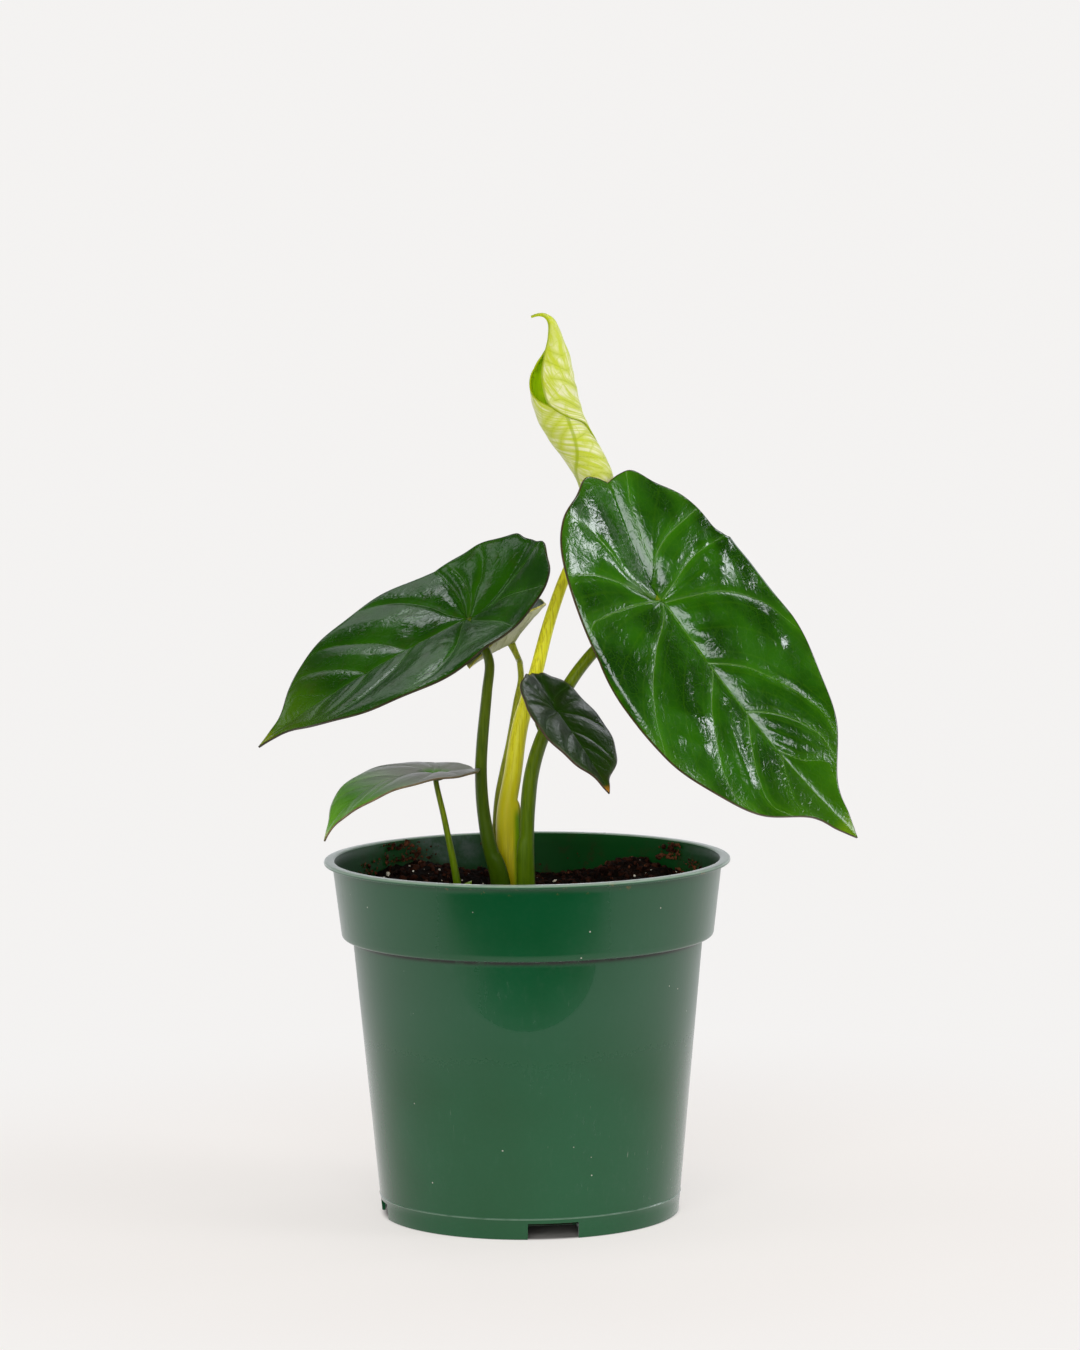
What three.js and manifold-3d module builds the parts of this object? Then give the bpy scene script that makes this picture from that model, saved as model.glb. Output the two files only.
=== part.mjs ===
// A leafy house plant with quilted, spade-shaped leaves, standing in a round nursery pot.
// Lengths are millimetres and angles are degrees. +Z is up, and the front faces -Y.
// The origin is the middle of the pot's underside.

import * as THREE from 'three';
import { mergeVertices } from 'three/addons/utils/BufferGeometryUtils.js';
import Module from 'manifold-3d';

const wasm = await Module();
wasm.setup();

// Clearance between pieces that touch
const GAP = 0.3;

// Pot: a tapered body, a wider band above it, and a thin flange round the mouth
const POT = {
  height: 137.2,
  flangeRadius: 78,
  lip: 1.4,
  mouthRadius: 74.3,
  bandTopRadius: 74.8,
  bandFootRadius: 71.4,
  bandFoot: 107.5,
  bodyTopRadius: 67.3,
  footRadius: 57.3,
  wall: 1.2,
  floorRise: 4,
  hubRadius: 22,
  hubSlope: 4,
  segments: 72,
};

// Drain notches cut up through the foot ring, the first one just right of the front
const NOTCH = { count: 4, width: 19.4, height: 6.2, depth: 14, first: 8.8 };

// Potting mix: its level, two heaps against the back wall, and crumbs on top
const SOIL = {
  level: 120.6,
  ripple: 0.8,
  segments: 40,
  rings: 6,
  heaps: [
    { x: -48, y: 40, height: 6, spread: 24 },
    { x: 47, y: 42, height: 6.5, spread: 22 },
  ],
};
const CRUMBS = {
  count: 26,
  small: 1.2,
  large: 2.6,
  reach: 66,
  mainClear: 17,
  sideClear: 10.5,
  seed: 7,
};

// Short stems that the leaf stalks stand on, sunk in plain holes in the soil
const MAIN_STEM = { x: -5.2, y: 1.6, radius: 13.5, foot: 92, top: 122 };
const SIDE_STEM = { x: -25.2, y: -13.6, radius: 6.5, foot: 106, top: 122 };
const STEM_SIDES = 24;
const STEM_SHOULDER = 0.35;

// Spade outline shared by every leaf. In front of the stalk: share of the front length, then
// share of the half width. Behind it: angle from the tip's direction, then share of the back
// radius.
const FRONT_WIDTHS = [[0.93, 0.09], [0.84, 0.22], [0.7, 0.64], [0.52, 0.92], [0.32, 1.08], [0.1, 1.09]];
const BACK_RADII = [[112, 0.99], [132, 0.98], [150, 0.93], [163, 0.95], [172, 0.91]];
const NOTCH_SHARE = 0.85;

// Vein plan: points along each vein as shares of the leaf's front or back length and of its
// half width. Widths are negative on a leaf's left side, which is the side that stands left
// in a view of a leaf whose tip hangs towards the viewer.
const LEFT_VEINS = [
  [[0, 0], [0.05, -0.19], [0.094, -0.46], [0.17, -0.745], [0.25, -0.92], [0.31, -1.0]],
  [[0.28, -0.02], [0.353, -0.32], [0.43, -0.51], [0.517, -0.68], [0.6, -0.745], [0.67, -0.68]],
  [[0.46, 0], [0.53, -0.22], [0.61, -0.4], [0.7, -0.5], [0.78, -0.4]],
  [[0.63, 0], [0.69, -0.15], [0.76, -0.28], [0.84, -0.22]],
  [[0, 0], [-0.086, -0.4], [-0.126, -0.86], [-0.1, -1.0]],
  [[0, 0], [-0.16, -0.23], [-0.3, -0.55], [-0.35, -0.85]],
  [[0, 0], [-0.246, -0.25], [-0.4, -0.32], [-0.57, -0.47], [-0.66, -0.62]],
];
const RIGHT_VEINS = [
  [[0.01, 0], [0.045, 0.21], [0.1, 0.54], [0.168, 0.765], [0.25, 0.93], [0.32, 0.98]],
  [[0.25, 0], [0.34, 0.27], [0.426, 0.42], [0.526, 0.536], [0.64, 0.6], [0.71, 0.56]],
  [[0.45, 0], [0.52, 0.2], [0.6, 0.34], [0.69, 0.42], [0.78, 0.38]],
  [[0.62, 0.02], [0.69, 0.12], [0.76, 0.3], [0.82, 0.25]],
  [[0, 0], [-0.05, 0.2], [-0.15, 0.57], [-0.17, 0.95]],
  [[-0.2, 0.07], [-0.3, 0.17], [-0.4, 0.36], [-0.49, 0.65]],
  [[0, 0], [-0.22, 0.085], [-0.44, 0.09], [-0.7, 0.136], [-0.8, 0.17]],
];

const VEIN_STEPS = 8;

// How deep the quilting stands between the veins, and how fast it rises beside one, both as
// shares of the half width
const QUILT = { height: 0.045, width: 0.11 };

// Shape of the midline's bends: how sharply the tip droops and sways, how soon the back lobes
// rise and turn (shares of the back length), and the straight steps that it is added up from
const BEND = { droopPower: 1.3, sicklePower: 1.5, riseReach: 0.35, kinkReach: 0.4, steps: 24 };

// Waves round the margin of each leaf, and how fast they and the quilting fade near it
const MARGIN = { waves: 11, wavePower: 4, quiltPower: 5 };

// Open leaves. joint is where the stalk meets the blade. heading, dip and roll aim the tip and
// tilt the blade about it. droop bends the tip down, rise lifts the back lobes, and kink and
// sickle bend the midline sideways. foldLeft and foldRight lift each side, and curl turns the
// margins down. front, back and half are the lengths from the joint to the tip, to the lobes
// and to the side margin.
const LEAVES = {
  right: {
    joint: [52.25, -6, 236.25], heading: 2.3, dip: 55.4, roll: 33.2, droop: -7.5, rise: 5,
    foldLeft: 5.3, foldRight: 14.2, curl: 0.23, twist: 4.4, kink: 19.7, sickle: 7.2,
    front: 119, half: 52.8, back: 57.8, thickness: 0.8, wave: 0.9, rings: 10, spokes: 60,
  },
  left: {
    joint: [-22.3, -6, 229.7], heading: 189.3, dip: 25.4, roll: -10.2, droop: 11.8, rise: 29.1,
    foldLeft: 19, foldRight: 6, curl: 0.2, twist: -0.9, kink: -13.6, sickle: -2.4,
    front: 93, half: 41.4, back: 44.4, thickness: 0.8, wave: 0.7, rings: 9, spokes: 52,
  },
  front: {
    joint: [11.7, -24, 196.1], heading: -43.8, dip: 43.2, roll: -6.1, droop: 8.1, rise: 5.9,
    foldLeft: 13.2, foldRight: 14.7, curl: 0.25, twist: 0, kink: -1.5, sickle: 0.5,
    front: 40, half: 17.9, back: 19.6, thickness: 0.7, wave: 0.2, rings: 6, spokes: 36,
  },
  low: {
    joint: [-34.4, -12, 171.8], heading: 199.5, dip: -1.3, roll: -0.7, droop: 67.7, rise: 3.4,
    foldLeft: 10.5, foldRight: 10.5, curl: 0.25, twist: -2.4, kink: 0, sickle: 1,
    front: 54.3, half: 21.3, back: 17.4, thickness: 0.7, wave: 0.2, rings: 7, spokes: 36,
  },
  back: {
    joint: [-5.5, 29, 217.2], heading: 245, dip: 6, roll: 24, droop: 6, rise: 36,
    foldLeft: 32, foldRight: 30, curl: 0.25, twist: 0, kink: 0, sickle: 0,
    front: 43, half: 21.5, back: 22, thickness: 0.7, wave: 0.2, rings: 6, spokes: 36,
  },
};

// Stalks: the points that each one grows through from its stem, and its radius at even steps.
// Those of open leaves then run on to the underside of the blade.
const STALKS = {
  right: {
    route: [
      [0.6, -3.6, 122.45], [0.5, -3.7, 127], [0, -4, 143.3], [0.5, -4, 157.2], [2.2, -4, 170.7],
      [6.5, -4, 184.5], [17, -3, 204.7], [24.8, -2, 214.9], [30.2, -1, 220.1], [38.3, -1, 226.6],
    ],
    radii: [2.5, 2.7, 2.9, 2.7, 2.5, 2.3, 2.2, 2.1], steps: 22,
  },
  left: {
    route: [
      [-10.8, -3.9, 122.45], [-10.8, -4.1, 127], [-11.8, -5, 133.1], [-14.5, -6, 143.7],
      [-16.7, -6, 157.6], [-17.3, -6.5, 171.1], [-16.8, -7, 181.5], [-14.7, -8, 202],
      [-13.6, -9.2, 213], [-15, -9.6, 218],
    ],
    radii: [3.3, 3.0, 2.5, 2.3, 2.2, 2.0, 1.8, 1.7], steps: 22,
  },
  front: {
    route: [
      [1.6, 5.4, 122.45], [1.4, 5, 127], [0, 3, 142.4], [0.5, 3, 156.3], [2.6, 3.2, 169.9],
      [6.2, 3.3, 182.9], [4.6, -1, 189.2], [4.8, -6, 190.3], [6.2, -14, 190],
    ],
    radii: [1.5, 1.4, 1.3, 1.2, 1.1, 1.1], steps: 24,
  },
  low: {
    route: [
      [-26.2, -11.8, 122.45], [-26.3, -11.9, 125.5], [-28.2, -12, 137.7], [-30.1, -12, 147.4],
      [-31.6, -12, 155.1],
    ],
    radii: [1.6, 1.4, 1.2, 1.1, 1.0], steps: 14,
  },
  back: {
    route: [
      [-11.2, 7, 122.45], [-11.4, 7.2, 127], [-11.9, 9, 145.2], [-11, 9.5, 158.7], [-9, 10, 169.1],
      [-6.6, 11, 179.5], [-3.4, 14, 196.6], [-1.8, 17, 204], [-2.1, 20.5, 209.8],
    ],
    radii: [1.7, 1.5, 1.4, 1.3, 1.2, 1.2], steps: 20,
  },
  furled: {
    route: [
      [-5.2, 1.6, 122.45], [-5.4, 1.6, 126.5], [-7, 1.6, 132.6], [-8.1, 2, 142.6], [-8, 2, 153.1],
      [-5.1, 3, 169.9], [-2.3, 4, 187.2], [4.1, 5, 208.2], [9.6, 7, 228], [15.9, 9, 245.1],
      [22.6, 11, 257.2], [27, 12, 264], [28.3, 12, 268.2],
    ],
    radii: [3.2, 3.7, 3.7, 3.4, 3.1, 2.7, 2.4, 2.2, 2.1, 2.0], steps: 26,
  },
};
const STALK_SIDES = 10;

// Last straight run of a stalk up to its blade, and its clearance from the blade's underside
const APPROACH = 7;
const JOINT_GAP = 0.4;

// Stub of an old stalk that was cut off beside the low leaf
const CUT_STALK = {
  x: -23.8, y: -16.4, radius: 2.1, height: 7.4, slant: 0.9, lean: 0.6, sides: 12,
};

// Newest leaf, still rolled up lengthwise. Each station gives the roll's middle (x, z), its
// radius, the angle of its outer edge (0 is right, 90 is front) and how far round it winds.
// The inner edge is tucked in by tuck, over the last part of the winding from tuckFrom on.
const FURL = {
  y: 12,
  thickness: 0.7,
  tuck: 1.4,
  tuckFrom: 0.72,
  tuckLimit: 0.45,
  rows: 24,
  columns: 19,
  stations: [
    [28.4, 269, 2.7, -60, 395], [28.9, 273.6, 4.6, -60, 400], [28.1, 278.3, 6.2, -50, 400],
    [27, 283.4, 6.7, -30, 400], [23.4, 290.6, 7, 5, 390], [18.4, 298.3, 7.5, 50, 380],
    [15.2, 304.9, 8.2, 95, 362], [13.3, 311.5, 8.5, 126, 340], [12.2, 317.8, 8.4, 138, 318],
    [12.2, 323.2, 7.5, 142, 315], [12.5, 328.3, 5.7, 145, 312], [12.5, 334, 3.4, 150, 300],
    [12, 338.7, 2.1, 150, 270], [11, 342, 1.4, 140, 220], [9, 344, 0.9, 120, 170],
    [6.4, 344.4, 0.7, 100, 140], [3.6, 343.6, 0.6, 90, 110],
  ],
};

// Small helpers

const radians = THREE.MathUtils.degToRad;

// Value at share t (0 to 1) along a list of evenly spaced values
function alongList(values, t) {
  const place = Math.min(t, 1) * (values.length - 1);
  const low = Math.min(Math.floor(place), values.length - 2);
  return THREE.MathUtils.lerp(values[low], values[low + 1], place - low);
}

// Seeded draw between 0 and 1
function randomFrom(seed) {
  let state = seed;
  return () => {
    state = (state * 1664525 + 1013904223) % 4294967296;
    return state / 4294967296;
  };
}

function signedVolume(positions, indices) {
  const [a, b, c] = [new THREE.Vector3(), new THREE.Vector3(), new THREE.Vector3()];
  let volume = 0;
  for (let i = 0; i < indices.length; i += 3) {
    a.fromArray(positions, indices[i] * 3);
    b.fromArray(positions, indices[i + 1] * 3);
    c.fromArray(positions, indices[i + 2] * 3);
    volume += a.dot(b.cross(c)) / 6;
  }
  return volume;
}

// One closed body with shared vertices, no slivers of zero area, and its faces pointing out
function closed(geometry) {
  const bare = geometry.clone();
  bare.deleteAttribute('normal');
  bare.deleteAttribute('uv');
  const merged = mergeVertices(bare, 1e-4);
  const source = merged.index.array;
  const kept = [];
  for (let i = 0; i < source.length; i += 3) {
    const [a, b, c] = [source[i], source[i + 1], source[i + 2]];
    if (a !== b && b !== c && c !== a) {
      kept.push(a, b, c);
    }
  }
  if (signedVolume(merged.attributes.position.array, kept) < 0) {
    kept.reverse();
  }
  merged.setIndex(kept);
  return merged;
}

function solidFrom(geometry) {
  const shell = closed(geometry);
  return new wasm.Manifold(new wasm.Mesh({
    numProp: 3,
    vertProperties: Float32Array.from(shell.attributes.position.array),
    triVerts: Uint32Array.from(shell.index.array),
  }));
}

function geometryFrom(solid) {
  const mesh = solid.getMesh();
  const geometry = new THREE.BufferGeometry();
  geometry.setAttribute('position', new THREE.BufferAttribute(mesh.vertProperties, 3));
  geometry.setIndex(new THREE.BufferAttribute(mesh.triVerts, 1));
  return geometry;
}

// Round body from an outline of [radius, height] pairs that starts and ends on the axis
function turned(outline, segments) {
  const points = outline.map(([radius, height]) => new THREE.Vector2(radius, height));
  return closed(new THREE.LatheGeometry(points, segments).rotateX(Math.PI / 2));
}

// Gives an open sheet its thickness. The rim runs anticlockwise, seen from above the sheet,
// and both faces are split into the same triangles.
function thickened(points, triangles, rim, thickness) {
  const sheet = new THREE.BufferGeometry().setFromPoints(points);
  sheet.setIndex(triangles);
  sheet.computeVertexNormals();
  const normal = new THREE.Vector3();
  const faces = [thickness / 2, -thickness / 2].map((offset) => points.map((point, i) => {
    normal.fromBufferAttribute(sheet.attributes.normal, i);
    return point.clone().addScaledVector(normal, offset);
  }));
  const under = points.length;
  const indices = [...triangles];
  for (let i = 0; i < triangles.length; i += 3) {
    indices.push(triangles[i] + under, triangles[i + 2] + under, triangles[i + 1] + under);
  }
  rim.forEach((here, i) => {
    const next = rim[(i + 1) % rim.length];
    indices.push(here + under, next + under, next);
    indices.push(here + under, next, here);
  });
  const body = new THREE.BufferGeometry().setFromPoints([...faces[0], ...faces[1]]);
  body.setIndex(indices);
  return closed(body);
}

// Pot

// Radius of the pot's inner wall at a height
function potInside(height) {
  const ledge = POT.bandFoot + POT.wall;
  if (height >= ledge) {
    const share = (height - ledge) / (POT.height - ledge);
    return THREE.MathUtils.lerp(POT.bandFootRadius, POT.bandTopRadius, share) - POT.wall;
  }
  return THREE.MathUtils.lerp(POT.footRadius, POT.bodyTopRadius, height / ledge) - POT.wall;
}

function potGeometry() {
  const floorTop = POT.floorRise + POT.wall;
  const hubEdge = POT.hubRadius + POT.hubSlope;
  const ledge = POT.bandFoot + POT.wall;
  const underLip = POT.height - POT.lip;
  const body = turned([
    [0, 0],
    [POT.hubRadius, 0],
    [hubEdge, POT.floorRise],
    [POT.footRadius - POT.wall, POT.floorRise],
    [POT.footRadius - POT.wall, 0],
    [POT.footRadius, 0],
    [POT.bodyTopRadius, POT.bandFoot],
    [POT.bandFootRadius, POT.bandFoot],
    [POT.bandTopRadius, underLip],
    [POT.flangeRadius, underLip],
    [POT.flangeRadius, POT.height],
    [POT.mouthRadius, POT.height],
    [potInside(underLip), underLip],
    [potInside(ledge), ledge],
    [POT.bodyTopRadius - POT.wall, ledge],
    [potInside(floorTop), floorTop],
    [hubEdge, floorTop],
    [POT.hubRadius, POT.wall],
    [0, POT.wall],
  ], POT.segments);
  let pot = solidFrom(body);
  for (let i = 0; i < NOTCH.count; i += 1) {
    const turn = radians(NOTCH.first + (i * 360) / NOTCH.count);
    const cutter = new THREE.BoxGeometry(NOTCH.width, NOTCH.depth, NOTCH.height * 2);
    cutter.translate(0, -POT.footRadius, 0);
    cutter.rotateZ(turn);
    pot = pot.subtract(solidFrom(cutter));
  }
  return geometryFrom(pot);
}

// Soil

function soilHeight(x, y) {
  let height = SOIL.level;
  SOIL.heaps.forEach((heap) => {
    const apart = (x - heap.x) ** 2 + (y - heap.y) ** 2;
    height += heap.height * Math.exp(-apart / heap.spread ** 2);
  });
  const waves = Math.sin(x * 0.31 + 1) * Math.cos(y * 0.27) + Math.sin(x * 0.13 - y * 0.19);
  return height + SOIL.ripple * waves;
}

// Stem with a flat top; clearance makes the slightly larger hole that it stands in
function stemGeometry(stem, clearance = 0) {
  const radius = stem.radius + clearance;
  const foot = stem.foot - clearance;
  const shoulder = radius * STEM_SHOULDER;
  const top = clearance > 0 ? POT.height : stem.top;
  return turned([
    [0, foot],
    [radius - shoulder, foot],
    [radius, foot + shoulder],
    [radius, top],
    [0, top],
  ], STEM_SIDES).translate(stem.x, stem.y, 0);
}

function soilGeometry() {
  const floor = POT.floorRise + POT.wall + GAP;
  const ledge = POT.bandFoot + POT.wall + GAP;
  const rim = potInside(SOIL.level - 2 * SOIL.ripple) - GAP;
  const outline = [
    [0, POT.wall + GAP],
    [POT.hubRadius - GAP, POT.wall + GAP],
    [POT.hubRadius + POT.hubSlope - GAP, floor],
    [potInside(floor) - GAP, floor],
    [POT.bodyTopRadius - POT.wall - GAP, ledge],
    [potInside(ledge) - GAP, ledge],
  ];
  for (let ring = SOIL.rings; ring >= 0; ring -= 1) {
    outline.push([(rim * ring) / SOIL.rings, SOIL.level]);
  }
  const body = turned(outline, SOIL.segments);
  const place = body.attributes.position;
  for (let i = 0; i < place.count; i += 1) {
    if (Math.abs(place.getZ(i) - SOIL.level) < 0.01) {
      place.setZ(i, soilHeight(place.getX(i), place.getY(i)));
    }
  }
  let soil = solidFrom(body);
  const random = randomFrom(CRUMBS.seed);
  for (let i = 0; i < CRUMBS.count; i += 1) {
    const turn = random() * 2 * Math.PI;
    const share = CRUMBS.mainClear / CRUMBS.reach;
    const out = CRUMBS.reach * Math.sqrt(share ** 2 + random() * (1 - share ** 2));
    const [x, y] = [out * Math.cos(turn), out * Math.sin(turn)];
    const size = THREE.MathUtils.lerp(CRUMBS.small, CRUMBS.large, random());
    if (Math.hypot(x - SIDE_STEM.x, y - SIDE_STEM.y) < CRUMBS.sideClear) {
      continue;
    }
    const crumb = new THREE.IcosahedronGeometry(size, 0).rotateZ(turn);
    crumb.translate(x, y, soilHeight(x, y));
    soil = soil.add(solidFrom(crumb));
  }
  [MAIN_STEM, SIDE_STEM].forEach((stem) => {
    soil = soil.subtract(solidFrom(stemGeometry(stem, GAP)));
  });
  return geometryFrom(soil);
}

// Leaves

// Directions of a blade at its joint: along to the tip, across to its right, and up
function leafAxes(leaf) {
  const [heading, dip] = [radians(leaf.heading), radians(leaf.dip)];
  const along = new THREE.Vector3(
    Math.cos(heading) * Math.cos(dip),
    Math.sin(heading) * Math.cos(dip),
    -Math.sin(dip),
  );
  const across = new THREE.Vector3(-Math.sin(heading), Math.cos(heading), 0);
  across.applyAxisAngle(along, radians(leaf.roll));
  return { along, across, up: along.clone().cross(across) };
}

// Slope and sideways turn of the midline at a distance from the joint, behind it if negative
function midlineTurn(leaf, distance) {
  if (distance > 0) {
    const share = distance / leaf.front;
    return {
      slope: -radians(leaf.droop) * share ** BEND.droopPower,
      swing: radians(leaf.sickle) * share ** BEND.sicklePower,
    };
  }
  return {
    slope: -radians(leaf.rise) * Math.tanh(-distance / (BEND.riseReach * leaf.back)),
    swing: -radians(leaf.kink) * Math.tanh(-distance / (BEND.kinkReach * leaf.back)),
  };
}

// Midline point at a distance from the joint, added up from short straight steps
function midlinePoint(leaf, distance) {
  const length = distance / BEND.steps;
  const point = new THREE.Vector3();
  for (let i = 0; i < BEND.steps; i += 1) {
    const { slope, swing } = midlineTurn(leaf, (i + 0.5) * length);
    point.x += length * Math.cos(slope) * Math.cos(swing);
    point.y += length * Math.cos(slope) * Math.sin(swing);
    point.z += length * Math.sin(slope);
  }
  return point;
}

// Veins of a leaf as chains of flat [along, across] points
function leafVeins(leaf) {
  const flat = ([along, across]) => new THREE.Vector3(
    along * (along > 0 ? leaf.front : leaf.back),
    across * leaf.half,
    0,
  );
  const chains = [...LEFT_VEINS, ...RIGHT_VEINS].map((vein) => (
    new THREE.CatmullRomCurve3(vein.map(flat), false, 'catmullrom').getPoints(VEIN_STEPS)
  ));
  chains.push([flat([-NOTCH_SHARE, 0]), flat([0.97, 0])]);
  return chains;
}

function distanceToVeins(veins, along, across) {
  const place = new THREE.Vector3(along, across, 0);
  const nearest = new THREE.Vector3();
  const span = new THREE.Line3();
  let least = Infinity;
  veins.forEach((chain) => {
    for (let i = 1; i < chain.length; i += 1) {
      span.set(chain[i - 1], chain[i]);
      span.closestPointToPoint(place, true, nearest);
      least = Math.min(least, nearest.distanceTo(place));
    }
  });
  return least;
}

// Flat leaf point carried to its place: lift is its height above the folded blade
function leafPoint(leaf, axes, along, across, lift) {
  const { slope, swing } = midlineTurn(leaf, along);
  const middle = midlinePoint(leaf, along);
  const twist = radians(leaf.twist) * (along / leaf.front);
  const side = new THREE.Vector3(-Math.sin(swing), Math.cos(swing), 0);
  const up = new THREE.Vector3(
    -Math.sin(slope) * Math.cos(swing),
    -Math.sin(slope) * Math.sin(swing),
    Math.cos(slope),
  );
  const ahead = side.clone().cross(up);
  side.applyAxisAngle(ahead, twist);
  up.applyAxisAngle(ahead, twist);
  const fold = radians(across > 0 ? leaf.foldRight : leaf.foldLeft);
  const share = Math.abs(across) / leaf.half;
  const height = leaf.half * (Math.sin(fold) * share - 0.5 * leaf.curl * share * share);
  middle.addScaledVector(side, across * Math.cos(0.7 * fold));
  middle.addScaledVector(up, height + lift);
  return new THREE.Vector3(...leaf.joint)
    .addScaledVector(axes.along, middle.x)
    .addScaledVector(axes.across, middle.y)
    .addScaledVector(axes.up, middle.z);
}

// Flat margin of a leaf, from the tip round its right side to the back notch and home again
function leafMargin(leaf) {
  const points = [new THREE.Vector3(leaf.front, 0, 0)];
  FRONT_WIDTHS.forEach(([along, across]) => {
    points.push(new THREE.Vector3(along * leaf.front, across * leaf.half, 0));
  });
  BACK_RADII.forEach(([angle, share]) => {
    const turn = radians(angle);
    const along = Math.cos(turn) * share * leaf.back;
    points.push(new THREE.Vector3(along, Math.sin(turn) * share * leaf.half, 0));
  });
  points.push(new THREE.Vector3(-NOTCH_SHARE * leaf.back, 0, 0));
  const halfMargin = new THREE.CatmullRomCurve3(points, false, 'catmullrom');
  const one = halfMargin.getSpacedPoints(leaf.spokes / 2);
  const other = one.slice(1, -1).reverse().map((point) => new THREE.Vector3(point.x, -point.y, 0));
  return [...one, ...other];
}

function bladeGeometry(leaf) {
  const axes = leafAxes(leaf);
  const veins = leafVeins(leaf);
  const margin = leafMargin(leaf);
  const { rings, spokes } = leaf;
  const points = [leafPoint(leaf, axes, 0, 0, 0)];
  for (let ring = 1; ring <= rings; ring += 1) {
    const out = ring / rings;
    margin.forEach((edge, spoke) => {
      const [along, across] = [edge.x * out, edge.y * out];
      const apart = distanceToVeins(veins, along, across) / (QUILT.width * leaf.half);
      const fade = 1 - out ** MARGIN.quiltPower;
      const puff = QUILT.height * leaf.half * (1 - Math.exp(-apart * apart)) * fade;
      const turn = (spoke / spokes) * 2 * Math.PI;
      const wave = leaf.wave * Math.sin(MARGIN.waves * turn) * out ** MARGIN.wavePower;
      points.push(leafPoint(leaf, axes, along, across, puff + wave));
    });
  }
  const vertex = (ring, spoke) => 1 + (ring - 1) * spokes + (spoke % spokes);
  const triangles = [];
  for (let spoke = 0; spoke < spokes; spoke += 1) {
    triangles.push(0, vertex(1, spoke), vertex(1, spoke + 1));
    for (let ring = 1; ring < rings; ring += 1) {
      const [inner, innerNext] = [vertex(ring, spoke), vertex(ring, spoke + 1)];
      const [outer, outerNext] = [vertex(ring + 1, spoke), vertex(ring + 1, spoke + 1)];
      triangles.push(inner, outer, outerNext);
      triangles.push(inner, outerNext, innerNext);
    }
  }
  const rim = margin.map((edge, spoke) => vertex(rings, spoke));
  return thickened(points, triangles, rim, leaf.thickness);
}

// Rolled leaf: a sheet wound round a bent middle line, with its inner edge tucked under
function furledGeometry() {
  const { stations, rows, columns } = FURL;
  const middle = new THREE.CatmullRomCurve3(
    stations.map(([x, z]) => new THREE.Vector3(x, FURL.y, z)),
    false,
    'catmullrom',
  );
  const front = new THREE.Vector3(0, -1, 0);
  const points = [];
  for (let row = 0; row <= rows; row += 1) {
    const share = row / rows;
    const centre = middle.getPoint(share);
    const right = front.clone().cross(middle.getTangent(share)).negate().normalize();
    const [radius, edge, span] = [2, 3, 4].map((column) => (
      alongList(stations.map((station) => station[column]), share)
    ));
    const tuck = Math.min(FURL.tuck, FURL.tuckLimit * radius);
    for (let column = 0; column <= columns; column += 1) {
      const round = column / columns;
      const turn = radians(edge - span * round);
      const reach = radius - tuck * THREE.MathUtils.smoothstep(round, FURL.tuckFrom, 1);
      points.push(centre.clone()
        .addScaledVector(right, reach * Math.cos(turn))
        .addScaledVector(front, reach * Math.sin(turn)));
    }
  }
  const vertex = (row, column) => row * (columns + 1) + column;
  const triangles = [];
  for (let row = 0; row < rows; row += 1) {
    for (let column = 0; column < columns; column += 1) {
      const [low, lowNext] = [vertex(row, column), vertex(row, column + 1)];
      const [high, highNext] = [vertex(row + 1, column), vertex(row + 1, column + 1)];
      triangles.push(low, lowNext, highNext);
      triangles.push(low, highNext, high);
    }
  }
  const rim = [];
  for (let column = 0; column < columns; column += 1) {
    rim.push(vertex(0, column));
  }
  for (let row = 0; row < rows; row += 1) {
    rim.push(vertex(row, columns));
  }
  for (let column = columns; column > 0; column -= 1) {
    rim.push(vertex(rows, column));
  }
  for (let row = rows; row > 0; row -= 1) {
    rim.push(vertex(row, 0));
  }
  return thickened(points, triangles, rim, FURL.thickness);
}

// Stalks

// Capped cylinder carried along a curve, with its radius changing on the way
function stalkGeometry(points, radii, steps) {
  const path = new THREE.CatmullRomCurve3(points, false, 'centripetal');
  const frames = path.computeFrenetFrames(steps, false);
  const tube = new THREE.CylinderGeometry(1, 1, 1, STALK_SIDES, steps);
  const place = tube.attributes.position;
  for (let i = 0; i < place.count; i += 1) {
    const share = place.getY(i) + 0.5;
    const step = Math.round(share * steps);
    const radius = alongList(radii, share);
    const point = path.getPointAt(share)
      .addScaledVector(frames.normals[step], radius * place.getX(i))
      .addScaledVector(frames.binormals[step], radius * place.getZ(i));
    place.setXYZ(i, point.x, point.y, point.z);
  }
  return closed(tube);
}

// Stalk of an open leaf, which meets the underside of its blade squarely at the joint
function leafStalkGeometry(name) {
  const stalk = STALKS[name];
  const leaf = LEAVES[name];
  const { up } = leafAxes(leaf);
  const joint = new THREE.Vector3(...leaf.joint);
  const points = stalk.route.map((point) => new THREE.Vector3(...point));
  points.push(joint.clone().addScaledVector(up, -APPROACH));
  points.push(joint.clone().addScaledVector(up, -leaf.thickness / 2 - JOINT_GAP));
  return stalkGeometry(points, stalk.radii, stalk.steps);
}

function furledStalkGeometry() {
  const { route, radii, steps } = STALKS.furled;
  return stalkGeometry(route.map((point) => new THREE.Vector3(...point)), radii, steps);
}

function cutStalkGeometry() {
  const { radius, height, sides } = CUT_STALK;
  const stub = new THREE.CylinderGeometry(radius, radius, height, sides).rotateX(Math.PI / 2);
  const place = stub.attributes.position;
  for (let i = 0; i < place.count; i += 1) {
    if (place.getZ(i) > 0) {
      place.setZ(i, place.getZ(i) + (CUT_STALK.slant * place.getX(i)) / radius);
      place.setX(i, place.getX(i) + CUT_STALK.lean);
    }
  }
  stub.translate(CUT_STALK.x, CUT_STALK.y, SIDE_STEM.top + GAP + height / 2);
  return closed(stub);
}

// Finishes

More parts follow.
